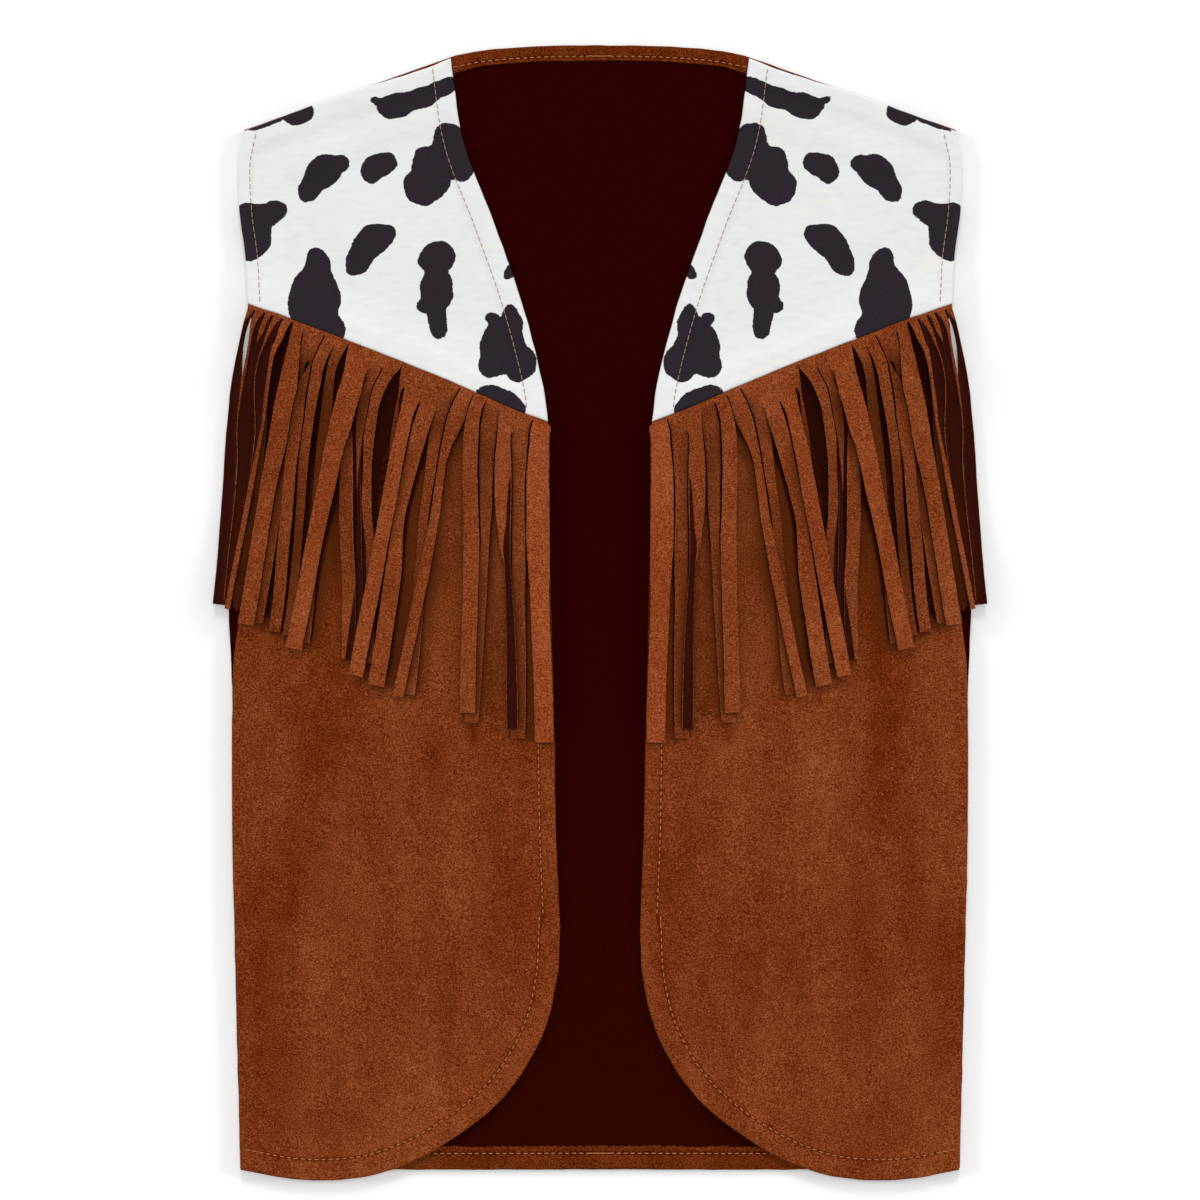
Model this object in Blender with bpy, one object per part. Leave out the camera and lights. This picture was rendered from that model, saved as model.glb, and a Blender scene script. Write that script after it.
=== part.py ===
"""A child's western vest, laid flat on a table with its front up.

The suede-look cloth is cut as one back and two fronts. Each front carries a cow-print yoke,
and a strip of suede fringe is sewn into the slanted seam below it. The panels lie on each
other: the back on the table, the fronts and yokes on the back, and the fringe on the fronts.

The vest lies on the XY plane, with its neck towards +Y and its centre front on the Y axis.
Sides are the wearer's, so the right front lies at -X. Sizes are in millimetres and become
metres where a mesh is made. Each half is drawn at -X, and the other half mirrors it.
"""

from collections import namedtuple
from math import ceil, cos, radians, sin, tan

import bpy
import numpy as np
from mathutils import Vector
from mathutils.geometry import delaunay_2d_cdt

MM = 0.001

# Driving sizes
SUEDE = 1.1
COTTON = 1.0
FRINGE = 1.0
TURNED = 0.8
GAP = 0.38
SEAM_GAP = 0.30
NECK_TOP = 227.4
HEM_LOW = -227.4
SEAM_ROLL = 1.4

# The slanted seam under the yoke, from its armhole end to its centre front end
SEAM_OUTER = (-140.8, 123.2)
SEAM_INNER = (-20.8, 76.2)

# How finely the panels are cut up. The rings run at shares of the turned depth, and points
# too near a ring, the outline or each other are left out.
OUTLINE_STEP = 10.0
FILL_STEP = 15.0
RING_RATIOS = (0.93, 1.07)
RING_KEPT = 0.985
RING_MITRED = 0.3
FILL_FROM_OUTLINE = 0.45
FILL_FROM_RING = 0.35
MERGE_WITHIN = 1e-5

# Where the lifts fade out: over the back's turned edges in turned depths, the rest in mm
BACK_EDGE_FADE = (2.4, 3.8)
FOLD_EDGE_FADE = (4.0, 30.0)
FOLD_END_FADE = 0.35
SEAM_ROLL_FADE = (5.0, 22.0)

# An edge is a curve through a few points, with the depth that is turned under along it
Edge = namedtuple("Edge", "points depth")

BACK_CUT = (
    Edge(((0, NECK_TOP), (-24, 227.0), (-46, 225.4), (-58, 223.2)), 6.3),
    Edge(((-58, 223.2), (-142.6, 193.4)), 8.0),
    Edge(((-142.6, 193.4), (-143.6, 176), (-141.0, 145), (-137.5, 105), (-134.5, 70),
          (-138.5, 40), (-149.5, 20)), 6.0),
    Edge(((-149.5, 20), (-148.8, -3), (-147.5, -35), (-147.3, -95), (-144.3, -223.2)), 8.0),
    Edge(((-144.3, -223.2), (-70, -223.7), (0, -223.6)), 9.4),
)

# The rounded corner of a front, from the centre front round to the hem
CORNER = ((-16.0, -127), (-17.2, -147), (-23.6, -171), (-39.2, -195), (-64, -214.2),
          (-86, -224.2), (-104, HEM_LOW), (-124, -227.0), (-143.9, -223.4))

FRONT_CUT = (
    Edge((SEAM_INNER, SEAM_OUTER), 8.0),
    Edge((SEAM_OUTER, (-136.4, 100), (-133.4, 68), (-135.5, 40), (-142.4, 16)), 6.0),
    Edge(((-142.4, 16), (-144.6, -3), (-147.0, -24), (-147.2, -95), (-145.6, -150),
          (-143.9, -223.4)), 8.0),
    Edge(tuple(reversed(CORNER)), 9.0),
    Edge((CORNER[0], (-17.6, -87), (-18.2, -50), (-19.7, 10), SEAM_INNER), 7.0),
)

YOKE_CUT = (
    Edge(((-59.8, 221.8), (-142.4, 192.6)), 8.0),
    Edge(((-142.4, 192.6), (-144.9, 180), (-144.3, 160), (-142.0, 142), SEAM_OUTER), 5.0),
    Edge((SEAM_OUTER, SEAM_INNER), 8.0),
    Edge((SEAM_INNER, (-23.2, 92.8), (-31.6, 124.8), (-42.8, 156.8), (-54.8, 188.8),
          (-59.8, 221.8)), 8.0),
)

# Broad soft folds that lift a front off the back, placed by eye
Fold = namedtuple("Fold", "x y half_length half_width height lean")
FRONT_FOLDS = (
    Fold(-128, -62, 74, 11, 1.3, 0.05),
    Fold(-94, -50, 58, 13, 1.6, -0.08),
    Fold(-58, -104, 92, 17, 1.3, 0.06),
    Fold(-112, -168, 46, 15, 1.1, -0.10),
    Fold(-34, -58, 60, 10, 0.9, 0.02),
)
YOKE_FOLDS = (
    Fold(-104, 164, 34, 13, 0.9, -0.25),
    Fold(-66, 150, 44, 14, 0.8, 0.30),
)

# The fringe, from the armhole to the centre front. The slits part the strands at the root:
# each slit is placed along X and starts some way below the seam. The tip is placed on the
# table. A strand of a higher layer lies over its neighbours, and roll tips it on one edge.
# Bend is the share of its length over which a strand turns from the seam's square.
Strand = namedtuple("Strand", "slit_x slit_depth tip_x tip_y width layer roll bend",
                    defaults=(0.09,))
STRANDS = (
    Strand(-140.8, 2.2, -152.6, 3.0, 5.0, 0, 6, 0.20),
    Strand(-137.6, 1.6, -148.4, 4.6, 2.8, 0, -6, 0.05),
    Strand(-134.1, 1.4, -146.0, 1.8, 1.6, 0, 15),
    Strand(-131.0, 1.4, -143.4, 0.2, 3.0, 0, -5),
    Strand(-127.2, 1.4, -149.0, 1.2, 2.2, 1, 35),
    Strand(-123.4, 1.4, -141.4, -5.0, 6.3, 1, -3),
    Strand(-118.5, 3.0, -136.6, -4.4, 3.4, 0, 8),
    Strand(-115.6, 14.0, -130.3, -7.8, 4.8, 0, 5, 0.30),
    Strand(-109.9, 1.4, -125.3, -9.5, 3.6, 0, -6, 0.25),
    Strand(-106.4, 4.4, -118.3, -12.4, 4.6, 0, 8, 0.20),
    Strand(-100.6, 1.4, -122.4, -14.7, 6.6, 2, -3),
    Strand(-96.0, 9.0, -100.8, -18.8, 5.4, 0, 4, 0.30),
    Strand(-93.6, 12.0, -96.4, -17.0, 2.2, 0, 12, 0.25),
    Strand(-87.1, 5.5, -92.6, -20.5, 3.8, 0, 6, 0.30),
    Strand(-79.5, 1.4, -88.4, -22.0, 3.6, 0, -5),
    Strand(-78.2, 9.9, -97.7, -25.4, 6.0, 2, 4, 0.12),
    Strand(-71.9, 13.0, -89.7, -29.4, 6.6, 1, -3, 0.26),
    Strand(-65.0, 11.0, -76.6, -33.0, 5.0, 0, 6, 0.20),
    Strand(-56.8, 1.4, -80.8, -33.8, 4.4, 1, -5),
    Strand(-51.4, 2.0, -53.0, -40.2, 6.1, 1, 3),
    Strand(-45.2, 2.2, -51.4, -44.2, 5.6, 0, -4),
    Strand(-38.3, 1.4, -35.0, -46.6, 4.6, 1, 5),
    Strand(-35.2, 9.0, -32.6, -50.6, 5.6, 0, -4),
    Strand(-26.6, 1.4, -22.3, -52.2, 7.6, 1, 2),
)
BAND_TOP_DROP = 0.3
SLIT = 0.45
STRAND_SEGMENTS = 13
STRAND_CLEAR = 0.6
PANEL_CLEAR = 0.62
STRAND_SLOPE = 0.10
TABLE_CLEAR = 0.6

# How far up from its tip a strand is bent, as a share of its length, and the stretches below
# the root over which its width and its roll set in
TIP_BEND = 0.35
WIDTH_FADE = (14.0, 46.0)
ROLL_FADE = (6.0, 34.0)

# How far around itself a strand looks for what it must lie on
BESIDE_STRAND = 0.15
BESIDE_PANEL = 1.0
DOUBLED_WITHIN = 1.4
ALONG_STRAND = 0.75

# Colours as sRGB bytes, with roughness
SUEDE_FACE = ((122, 57, 24), 0.95)
SUEDE_REVERSE = ((45, 8, 6), 0.95)
COW_COTTON = ((228, 229, 232), 0.85)
SCREEN_GAMMA = 2.2
CREASE_DEGREES = 35


def smoothstep(low, high, value):
    """Rises softly from 0 at low to 1 at high."""
    t = np.clip((value - low) / (high - low), 0.0, 1.0)
    return t * t * (3.0 - 2.0 * t)


def curve_through(points, step):
    """Points about a step apart along a smooth curve through the given ones."""
    fixed = [np.array(point, dtype=float) for point in points]
    padded = [2 * fixed[0] - fixed[1]] + fixed + [2 * fixed[-1] - fixed[-2]]
    path = []
    for before, start, end, after in zip(padded, padded[1:], padded[2:], padded[3:]):
        length = np.linalg.norm(end - start)
        leave = (end - before) / np.linalg.norm(end - before) * length
        arrive = (after - start) / np.linalg.norm(after - start) * length
        count = max(1, round(length / step))
        for index in range(count):
            t = index / count
            path.append((2 * t**3 - 3 * t**2 + 1) * start + (t**3 - 2 * t**2 + t) * leave
                        + (3 * t**2 - 2 * t**3) * end + (t**3 - t**2) * arrive)
    return path + [fixed[-1]]


def outline_of(edges, step):
    """A closed outline, counter-clockwise, and the turned depth along each of its sides."""
    corners = []
    depths = []
    for edge in edges:
        path = curve_through(edge.points, step)
        corners += path[:-1]
        depths += [edge.depth] * (len(path) - 1)
    return np.array(corners), np.array(depths)


def mirrored_edges(edges):
    """The same edges on the other half, in the order that keeps the outline turning left."""
    flipped = []
    for edge in reversed(edges):
        points = tuple((-x, y) for x, y in reversed(edge.points))
        flipped.append(Edge(points, edge.depth))
    return tuple(flipped)


def side_distances(points, outline):
    """The distance of every point to every side of an outline."""
    start = outline
    along = np.roll(outline, -1, axis=0) - start
    reach = ((points[:, None] - start) * along).sum(2) / (along**2).sum(1)
    nearest = start + np.clip(reach, 0, 1)[..., None] * along
    return np.linalg.norm(points[:, None] - nearest, axis=2)


def turned_ratio(points, outline, depths):
    """Distance from the edge, counted in turned depths: 1 where the turned cloth ends."""
    return (side_distances(points, outline) / depths).min(axis=1)


def inside(points, outline):
    """True for each point that lies inside an outline."""
    x, y = points[:, 0, None], points[:, 1, None]
    x0, y0 = outline.T
    x1, y1 = np.roll(outline, -1, axis=0).T
    crosses = (y0 > y) != (y1 > y)
    safe_rise = np.where(y1 == y0, 1.0, y1 - y0)
    to_the_left = x < (x1 - x0) * (y - y0) / safe_rise + x0
    return (crosses & to_the_left).sum(axis=1) % 2 == 1


def inner_ring(outline, depths, ratio):
    """The outline drawn inwards by a share of its turned depth, without its crossed points."""
    along = np.roll(outline, -1, axis=0) - outline
    along /= np.linalg.norm(along, axis=1)[:, None]
    inward = np.stack([-along[:, 1], along[:, 0]], axis=1)
    ring = []
    for index, corner in enumerate(outline):
        normals = np.array([inward[index - 1], inward[index]])
        reach = np.array([depths[index - 1], depths[index]]) * ratio
        turn = np.linalg.det(normals)
        if abs(turn) > RING_MITRED:
            ring.append(corner + np.linalg.solve(normals, reach))
        else:
            middle = normals.mean(axis=0)
            ring.append(corner + middle / (middle @ middle) * reach.mean())
    ring = np.array(ring)
    kept = turned_ratio(ring, outline, depths) > ratio * RING_KEPT
    return ring[kept & inside(ring, outline)]


def fill_points(outline, depths, ratio, step):
    """A staggered grid of points well inside the innermost ring."""
    low, high = outline.min(axis=0), outline.max(axis=0)
    rows = ceil((high[1] - low[1]) / step)
    columns = ceil((high[0] - low[0]) / step) + 1
    points = []
    for row in range(rows):
        for column in range(columns):
            points.append((low[0] + (column + 0.5 * (row % 2)) * step,
                           low[1] + (row + 0.5) * step))
    points = np.array(points)
    clear = side_distances(points, outline).min(axis=1) > FILL_FROM_OUTLINE * step
    past_ring = ratio + FILL_FROM_RING * step / depths.max()
    deep = turned_ratio(points, outline, depths) > past_ring
    return points[clear & deep & inside(points, outline)]


def triangulate(outline, depths):
    """Triangles over a panel, with lines of points where its turned edge ends."""
    loops = [outline] + [inner_ring(outline, depths, ratio) for ratio in RING_RATIOS]
    fill = fill_points(outline, depths, RING_RATIOS[-1], FILL_STEP)
    points = [Vector(point) for loop in loops for point in loop] + [Vector(p) for p in fill]
    sides = []
    first = 0
    for loop in loops:
        count = len(loop)
        sides += [(first + i, first + (i + 1) % count) for i in range(count)]
        first += count
    flat, _, faces, _, _, _ = delaunay_2d_cdt(
        points, sides, [list(range(len(outline)))], 1, MERGE_WITHIN)
    return np.array([tuple(point) for point in flat]), [tuple(face) for face in faces]


def add_object(name, vertices, faces, look):
    """A mesh object in metres from corners in millimetres, with its own material."""
    mesh = bpy.data.meshes.new(name)
    mesh.from_pydata([tuple(MM * value for value in vertex) for vertex in vertices], [], faces)
    mesh.validate()
    piece = bpy.data.objects.new(name, mesh)
    bpy.context.scene.collection.objects.link(piece)
    mesh.materials.append(cloth_material(name + "_cloth", *look))
    mesh.shade_smooth()
    mesh.set_sharp_from_angle(angle=radians(CREASE_DEGREES))
    return piece


def cloth_material(name, colour, roughness):
    """A plain matt cloth colour."""
    material = bpy.data.materials.new(name)
    material.use_nodes = True
    shader = material.node_tree.nodes["Principled BSDF"]
    linear = [(byte / 255) ** SCREEN_GAMMA for byte in colour]
    shader.inputs["Base Color"].default_value = (*linear, 1.0)
    shader.inputs["Roughness"].default_value = roughness
    shader.inputs["Metallic"].default_value = 0.0
    return material


def panel(name, edges, bottom, top, look):
    """A cloth wall over an outline, between an under and an upper height."""
    outline, depths = outline_of(edges, OUTLINE_STEP)
    flat, triangles = triangulate(outline, depths)
    count = len(flat)
    low = bottom(flat)
    high = top(flat)
    vertices = [(x, y, z) for (x, y), z in zip(flat, low)]
    vertices += [(x, y, z) for (x, y), z in zip(flat, high)]
    faces = [tuple(reversed(face)) for face in triangles]
    faces += [tuple(count + corner for corner in face) for face in triangles]
    for start, end in open_sides(triangles):
        faces.append((start, end, count + end, count + start))
    return add_object(name, vertices, faces, look)


def open_sides(triangles):
    """The sides that only one triangle uses, each in that triangle's own direction."""
    used = {(a, b) for face in triangles for a, b in zip(face, face[1:] + face[:1])}
    return [(a, b) for a, b in sorted(used) if (b, a) not in used]


def off_seam():
    """The direction square to the slanted seam, away from the yoke."""
    run = np.array(SEAM_INNER) - np.array(SEAM_OUTER)
    run /= np.linalg.norm(run)
    return np.array((run[1], -run[0]))


def moved_off_seam(edges, distance):
    """Edges whose ends on the slanted seam step away from the yoke by a distance."""
    step = off_seam() * distance
    on_seam = (SEAM_INNER, SEAM_OUTER)
    return tuple(
        Edge(tuple(tuple(np.array(p) + step) if p in on_seam else p for p in edge.points),
             edge.depth)
        for edge in edges)


BACK_EDGES = BACK_CUT + mirrored_edges(BACK_CUT)
FRONT_EDGES = moved_off_seam(FRONT_CUT, SEAM_GAP / 2)
YOKE_EDGES = moved_off_seam(YOKE_CUT, -SEAM_GAP / 2)


def on_right_half(points):
    """The points brought over to -X, because both halves have one shape."""
    return np.stack([-np.abs(points[:, 0]), points[:, 1]], axis=1)


def folded_twice(points, edges):
    """1 where an edge's turned cloth doubles the panel, 0 further in."""
    outline, depths = outline_of(edges, OUTLINE_STEP)
    return 1.0 - smoothstep(*RING_RATIOS, turned_ratio(points, outline, depths))


def over_back(points):
    """The height at which a panel clears the back and the ridge of its turned edges."""
    outline, depths = outline_of(BACK_EDGES, OUTLINE_STEP)
    near = 1.0 - smoothstep(*BACK_EDGE_FADE, turned_ratio(points, outline, depths))
    beyond = ~inside(points, outline)
    return SUEDE + GAP + TURNED * np.where(beyond, 1.0, near)


def soft_folds(points, folds):
    """The lift of the broad folds at each point of the right half."""
    lift = np.zeros(len(points))
    for fold in folds:
        along = points[:, 1] - fold.y
        across = points[:, 0] - fold.x - fold.lean * along
        ends = 1.0 - smoothstep(FOLD_END_FADE, 1.0, np.abs(along) / fold.half_length)
        lift += fold.height * np.exp(-(across / fold.half_width) ** 2) * ends
    return lift


def above_seam(points):
    """How far each point of the right half lies above the slanted seam."""
    return (np.array(SEAM_OUTER) - points) @ off_seam()


def front_bottom(points):
    """The underside of a front."""
    points = on_right_half(points)
    outline, _ = outline_of(FRONT_EDGES, OUTLINE_STEP)
    free = smoothstep(*FOLD_EDGE_FADE, side_distances(points, outline).min(axis=1))
    return over_back(points) + soft_folds(points, FRONT_FOLDS) * free


def front_top(points):
    """The upper side of a front."""
    doubled = folded_twice(on_right_half(points), FRONT_EDGES)
    return front_bottom(points) + SUEDE + TURNED * doubled


def yoke_bottom(points):
    """The underside of a yoke, which rolls up over the seam's allowances."""
    points = on_right_half(points)
    rolled = 1.0 - smoothstep(*SEAM_ROLL_FADE, above_seam(points))
    return over_back(points) + SEAM_ROLL * rolled + soft_folds(points, YOKE_FOLDS)


def yoke_top(points):
    """The upper side of a yoke."""
    doubled = folded_twice(on_right_half(points), YOKE_EDGES)
    return yoke_bottom(points) + COTTON + TURNED * doubled


def back_bottom(points):
    """The back's underside rests flat on the table."""
    return np.zeros(len(points))


def back_top(points):
    """The back's inner side, which faces up between the fronts."""
    return SUEDE + TURNED * folded_twice(points, BACK_EDGES)


def bezier(points, t):
    """A point on a curve with four control points."""
    a, b, c, d = points
    return (1 - t) ** 3 * a + 3 * (1 - t) ** 2 * t * b + 3 * (1 - t) * t**2 * c + t**3 * d


class Ribbon:
    """One strand of the fringe: its middle line, widths, rolls and heights, root to tip."""

    def __init__(self, strand, root_left, root_right):
        self.strand = strand
        self.root = (root_left, root_right)
        start = (self.root[0] + self.root[1]) / 2
        tip = np.array((strand.tip_x, strand.tip_y))
        length = np.linalg.norm(tip - start)
        handles = (start, start + off_seam() * length * strand.bend,
                   tip + (start - tip) * TIP_BEND, tip)
        steps = np.linspace(0, 1, STRAND_SEGMENTS + 1)
        self.middle = np.array([bezier(handles, t) for t in steps])
        self.travel = steps * length
        heading = np.gradient(self.middle, axis=0)
        heading /= np.linalg.norm(heading, axis=1)[:, None]
        self.across = np.stack([-heading[:, 1], heading[:, 0]], axis=1)
        root_width = (root_right[0] - root_left[0]) * self.across[0][0]
        widening = smoothstep(*WIDTH_FADE, self.travel)
        self.width = root_width + (strand.width - root_width) * widening
        self.roll = radians(strand.roll) * smoothstep(*ROLL_FADE, self.travel)
        self.height = np.full(STRAND_SEGMENTS + 1, band_height(np.array(self.root)).mean())

    def half_span(self):
        """Half the strand's width as seen from above."""
        return self.width / 2 * np.cos(self.roll) + FRINGE / 2 * np.abs(np.sin(self.roll))

    def settle(self, support):
        """Lays the strand on what is under it, and lets it rise and fall only gently."""
        need = np.zeros(STRAND_SEGMENTS + 1)
        half_wall = FRINGE / 2 / np.cos(self.roll)
        for share in np.linspace(-1, 1, 7):
            sideways = share * (self.half_span() + BESIDE_STRAND)
            points = self.middle + self.across * sideways[:, None]
            lean = np.clip(sideways, -self.half_span(), self.half_span()) * np.tan(self.roll)
            need = np.maximum(need, support(points) + half_wall - lean)
        need[0] = self.height[0]
        apart = np.abs(self.travel[:, None] - self.travel)
        held = need[None, 1:] - STRAND_SLOPE * apart[1:, 1:]
        self.height[1:] = np.maximum(held.max(axis=1), need[0] - STRAND_SLOPE * self.travel[1:])

    def top_at(self, points):
        """The strand's upper side at each point, or minus infinity beside it."""
        result = np.full(len(points), -np.inf)
        half_spans = self.half_span() + BESIDE_STRAND
        reach = self.travel[-1] / STRAND_SEGMENTS * ALONG_STRAND + BESIDE_STRAND
        for index, point in enumerate(points):
            offset = point - self.middle
            station = int(np.argmin((offset**2).sum(axis=1)))
            for near in range(max(station - 1, 0), min(station + 1, STRAND_SEGMENTS) + 1):
                side_x, side_y = self.across[near]
                sideways = offset[near] @ self.across[near]
                lengthways = abs(offset[near] @ np.array((side_y, -side_x)))
                span = half_spans[near] - BESIDE_STRAND
                if abs(sideways) > half_spans[near] or lengthways > reach:
                    continue
                lean = np.clip(sideways, -span, span) * tan(self.roll[near])
                top = self.height[near] + lean + FRINGE / 2 / cos(self.roll[near])
                result[index] = max(result[index], top)
        return result

    def corners(self, station):
        """The four corners of the strand's cross-section at a station past its root."""
        x, y = self.middle[station]
        side = self.across[station]
        roll = self.roll[station]
        out = self.width[station] / 2
        half = FRINGE / 2
        flat = []
        for across, up in ((-out, -half), (out, -half), (out, half), (-out, half)):
            shift = across * cos(roll) - up * sin(roll)
            rise = across * sin(roll) + up * cos(roll)
            flat.append((x + side[0] * shift, y + side[1] * shift, self.height[station] + rise))
        return flat


def seam_point(x, depth):
    """A point some depth below the slanted seam at a place along X."""
    share = (x - SEAM_OUTER[0]) / (SEAM_INNER[0] - SEAM_OUTER[0])
    return np.array((x, SEAM_OUTER[1] + share * (SEAM_INNER[1] - SEAM_OUTER[1]) - depth))


def band_height(points):
    """The middle height of the fringe's band, which lies on the front's doubled top edge."""
    return front_bottom(points) + SUEDE + TURNED + PANEL_CLEAR + FRINGE / 2


def support_for(ribbons):
    """The height to clear under a strand, from the table, the panels and lower strands."""
    outline, depths = outline_of(FRONT_EDGES, OUTLINE_STEP)
    back_outline, _ = outline_of(BACK_EDGES, OUTLINE_STEP)

    def support(points):
        height = np.full(len(points), TABLE_CLEAR)
        beside_back = side_distances(points, back_outline).min(axis=1) < BESIDE_PANEL
        on_back = inside(points, back_outline) | beside_back
        height[on_back] = SUEDE + TURNED + PANEL_CLEAR
        beside_front = side_distances(points, outline).min(axis=1) < BESIDE_PANEL
        on_front = inside(points, outline) | beside_front
        doubled = turned_ratio(points, outline, depths) < DOUBLED_WITHIN
        cloth = front_bottom(points) + SUEDE + TURNED * doubled + PANEL_CLEAR
        height[on_front] = cloth[on_front]
        for ribbon in ribbons:
            height = np.maximum(height, ribbon.top_at(points) + STRAND_CLEAR)
        return height

    return support


def lay_strands():
    """Every strand of one half, the low layers laid before those that cross them."""
    slits = [(strand.slit_x, strand.slit_depth) for strand in STRANDS]
    slits.append((SEAM_INNER[0], STRANDS[-1].slit_depth))
    ribbons = []
    for index, strand in enumerate(STRANDS):
        left_inset = 0.0 if index == 0 else SLIT / 2
        right_inset = 0.0 if index == len(STRANDS) - 1 else SLIT / 2
        left = seam_point(slits[index][0] + left_inset, slits[index][1])
        right = seam_point(slits[index + 1][0] - right_inset, slits[index + 1][1])
        ribbons.append(Ribbon(strand, left, right))
    laid = []
    for layer in sorted({strand.layer for strand in STRANDS}):
        level = [ribbon for ribbon in ribbons if ribbon.strand.layer == layer]
        for ribbon in level:
            ribbon.settle(support_for(laid))
            laid.append(ribbon)
    return ribbons


def fringe(name, side, ribbons):
    """A comb of strands: a narrow band below the seam, slit into ribbons of four sides."""
    vertices = []
    faces = []

    def add(corners):
        vertices.extend(corners)
        return list(range(len(vertices) - len(corners), len(vertices)))

    def column(point):
        """The lower and upper corner of the band at a point."""
        middle = float(band_height(np.array([point]))[0])
        return add([(*point, middle - FRINGE / 2), (*point, middle + FRINGE / 2)])

    tops = []
    roots = []
    for ribbon in ribbons:
        pair = [column(corner) for corner in ribbon.root]
        roots.append(pair)
        tops.append([column(seam_point(x, BAND_TOP_DROP)) for x, _ in ribbon.root])

    for index, (left, right) in enumerate(roots):
        up_left, up_right = tops[index]
        band_block(faces, up_left, up_right, left, right)
        if index + 1 < len(roots):
            next_left = roots[index + 1][0]
            next_up = tops[index + 1][0]
            band_block(faces, up_right, next_up, right, next_left)
            faces.append((right[0], next_left[0], next_left[1], right[1]))
    first_up, first_root = tops[0][0], roots[0][0]
    last_up, last_root = tops[-1][1], roots[-1][1]
    faces.append((first_up[0], first_root[0], first_root[1], first_up[1]))
    faces.append((last_root[0], last_up[0], last_up[1], last_root[1]))

    for ribbon, (left, right) in zip(ribbons, roots):
        before = [left[0], right[0], right[1], left[1]]
        for station in range(1, STRAND_SEGMENTS + 1):
            now = add(ribbon.corners(station))
            for corner in range(4):
                after = (corner + 1) % 4
                faces.append((before[corner], before[after], now[after], now[corner]))
            before = now
        faces.append(tuple(before))

    if side > 0:
        vertices = [(-x, y, z) for x, y, z in vertices]
        faces = [tuple(reversed(face)) for face in faces]
    return add_object(name, vertices, faces, SUEDE_FACE)


def band_block(faces, up_left, up_right, low_left, low_right):
    """The under, upper and seam side of one stretch of the band."""
    faces.append((up_left[0], up_right[0], low_right[0], low_left[0]))
    faces.append((low_left[1], low_right[1], up_right[1], up_left[1]))
    faces.append((up_right[0], up_left[0], up_left[1], up_right[1]))


def main():
    """Clears the scene and makes the seven pieces of the vest."""
    for piece in list(bpy.data.objects):
        bpy.data.objects.remove(piece, do_unlink=True)

    panel("back", BACK_EDGES, back_bottom, back_top, SUEDE_REVERSE)
    panel("right_front", FRONT_EDGES, front_bottom, front_top, SUEDE_FACE)
    panel("left_front", mirrored_edges(FRONT_EDGES), front_bottom, front_top, SUEDE_FACE)
    panel("right_yoke", YOKE_EDGES, yoke_bottom, yoke_top, COW_COTTON)
    panel("left_yoke", mirrored_edges(YOKE_EDGES), yoke_bottom, yoke_top, COW_COTTON)
    ribbons = lay_strands()
    fringe("right_fringe", -1, ribbons)
    fringe("left_fringe", 1, ribbons)


main()
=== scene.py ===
"""The looks of a child's western vest that lies flat with its front up.

Each cloth piece is a fine closed shell on the form of its plain solid: rounded turned edges,
topstitching in its grooves, soft creases, a suede nap on the face, a dark reverse, and cow
patches on the cotton yokes. The outlines, the strands and the lifts are those of the solids,
but for a few edges that are drawn closer to the photo: the yokes' shoulders, their seams, and
the strands' edges near the roots.

Sizes are in millimetres and become metres where a mesh is made. Each half is drawn at -X, and
the other half mirrors it. Sides are the wearer's.
"""

from collections import namedtuple
from math import ceil, cos, pi, radians, sin, tan

import bpy
import numpy as np
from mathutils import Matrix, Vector, noise
from mathutils.bvhtree import BVHTree
from mathutils.geometry import delaunay_2d_cdt


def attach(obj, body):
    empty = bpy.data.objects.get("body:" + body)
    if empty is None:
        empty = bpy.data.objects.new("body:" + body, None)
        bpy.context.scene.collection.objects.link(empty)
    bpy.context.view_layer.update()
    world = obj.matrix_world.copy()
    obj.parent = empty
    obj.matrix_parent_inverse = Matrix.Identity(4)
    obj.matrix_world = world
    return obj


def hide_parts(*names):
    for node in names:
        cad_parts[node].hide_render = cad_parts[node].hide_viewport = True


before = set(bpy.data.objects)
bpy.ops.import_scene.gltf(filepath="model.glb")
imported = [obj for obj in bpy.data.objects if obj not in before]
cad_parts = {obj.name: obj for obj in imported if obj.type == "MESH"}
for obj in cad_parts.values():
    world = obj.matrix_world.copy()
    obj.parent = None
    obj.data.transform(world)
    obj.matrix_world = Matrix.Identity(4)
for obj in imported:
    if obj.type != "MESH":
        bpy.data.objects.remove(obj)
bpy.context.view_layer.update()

MM = 0.001

# Sizes that the solids have too
SUEDE = 1.1
COTTON = 1.0
FRINGE = 1.0
TURNED = 0.8
GAP = 0.38
NECK_TOP = 227.4
HEM_LOW = -227.4
SEAM_ROLL = 1.4
SEAM_OUTER = (-140.8, 123.2)
SEAM_INNER = (-20.8, 76.2)
COARSE_STEP = 10.0
BACK_EDGE_FADE = (2.4, 3.8)
FOLD_EDGE_FADE = (4.0, 30.0)
FOLD_END_FADE = 0.35
SEAM_ROLL_FADE = (5.0, 22.0)
STRAND_SEGMENTS = 13
STRAND_CLEAR = 0.6
PANEL_CLEAR = 0.62
STRAND_SLOPE = 0.10
TABLE_CLEAR = 0.6
TIP_BEND = 0.35
WIDTH_FADE = (14.0, 46.0)
ROLL_FADE = (6.0, 34.0)
BESIDE_STRAND = 0.15
BESIDE_PANEL = 1.0
DOUBLED_WITHIN = 1.4
ALONG_STRAND = 0.75

# An edge of a panel: a curve through a few points, the depth turned under along it, and where
# its topstitching runs as a share of that depth, or 0 where none shows
Edge = namedtuple("Edge", "points depth stitch", defaults=(0.0,))

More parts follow.
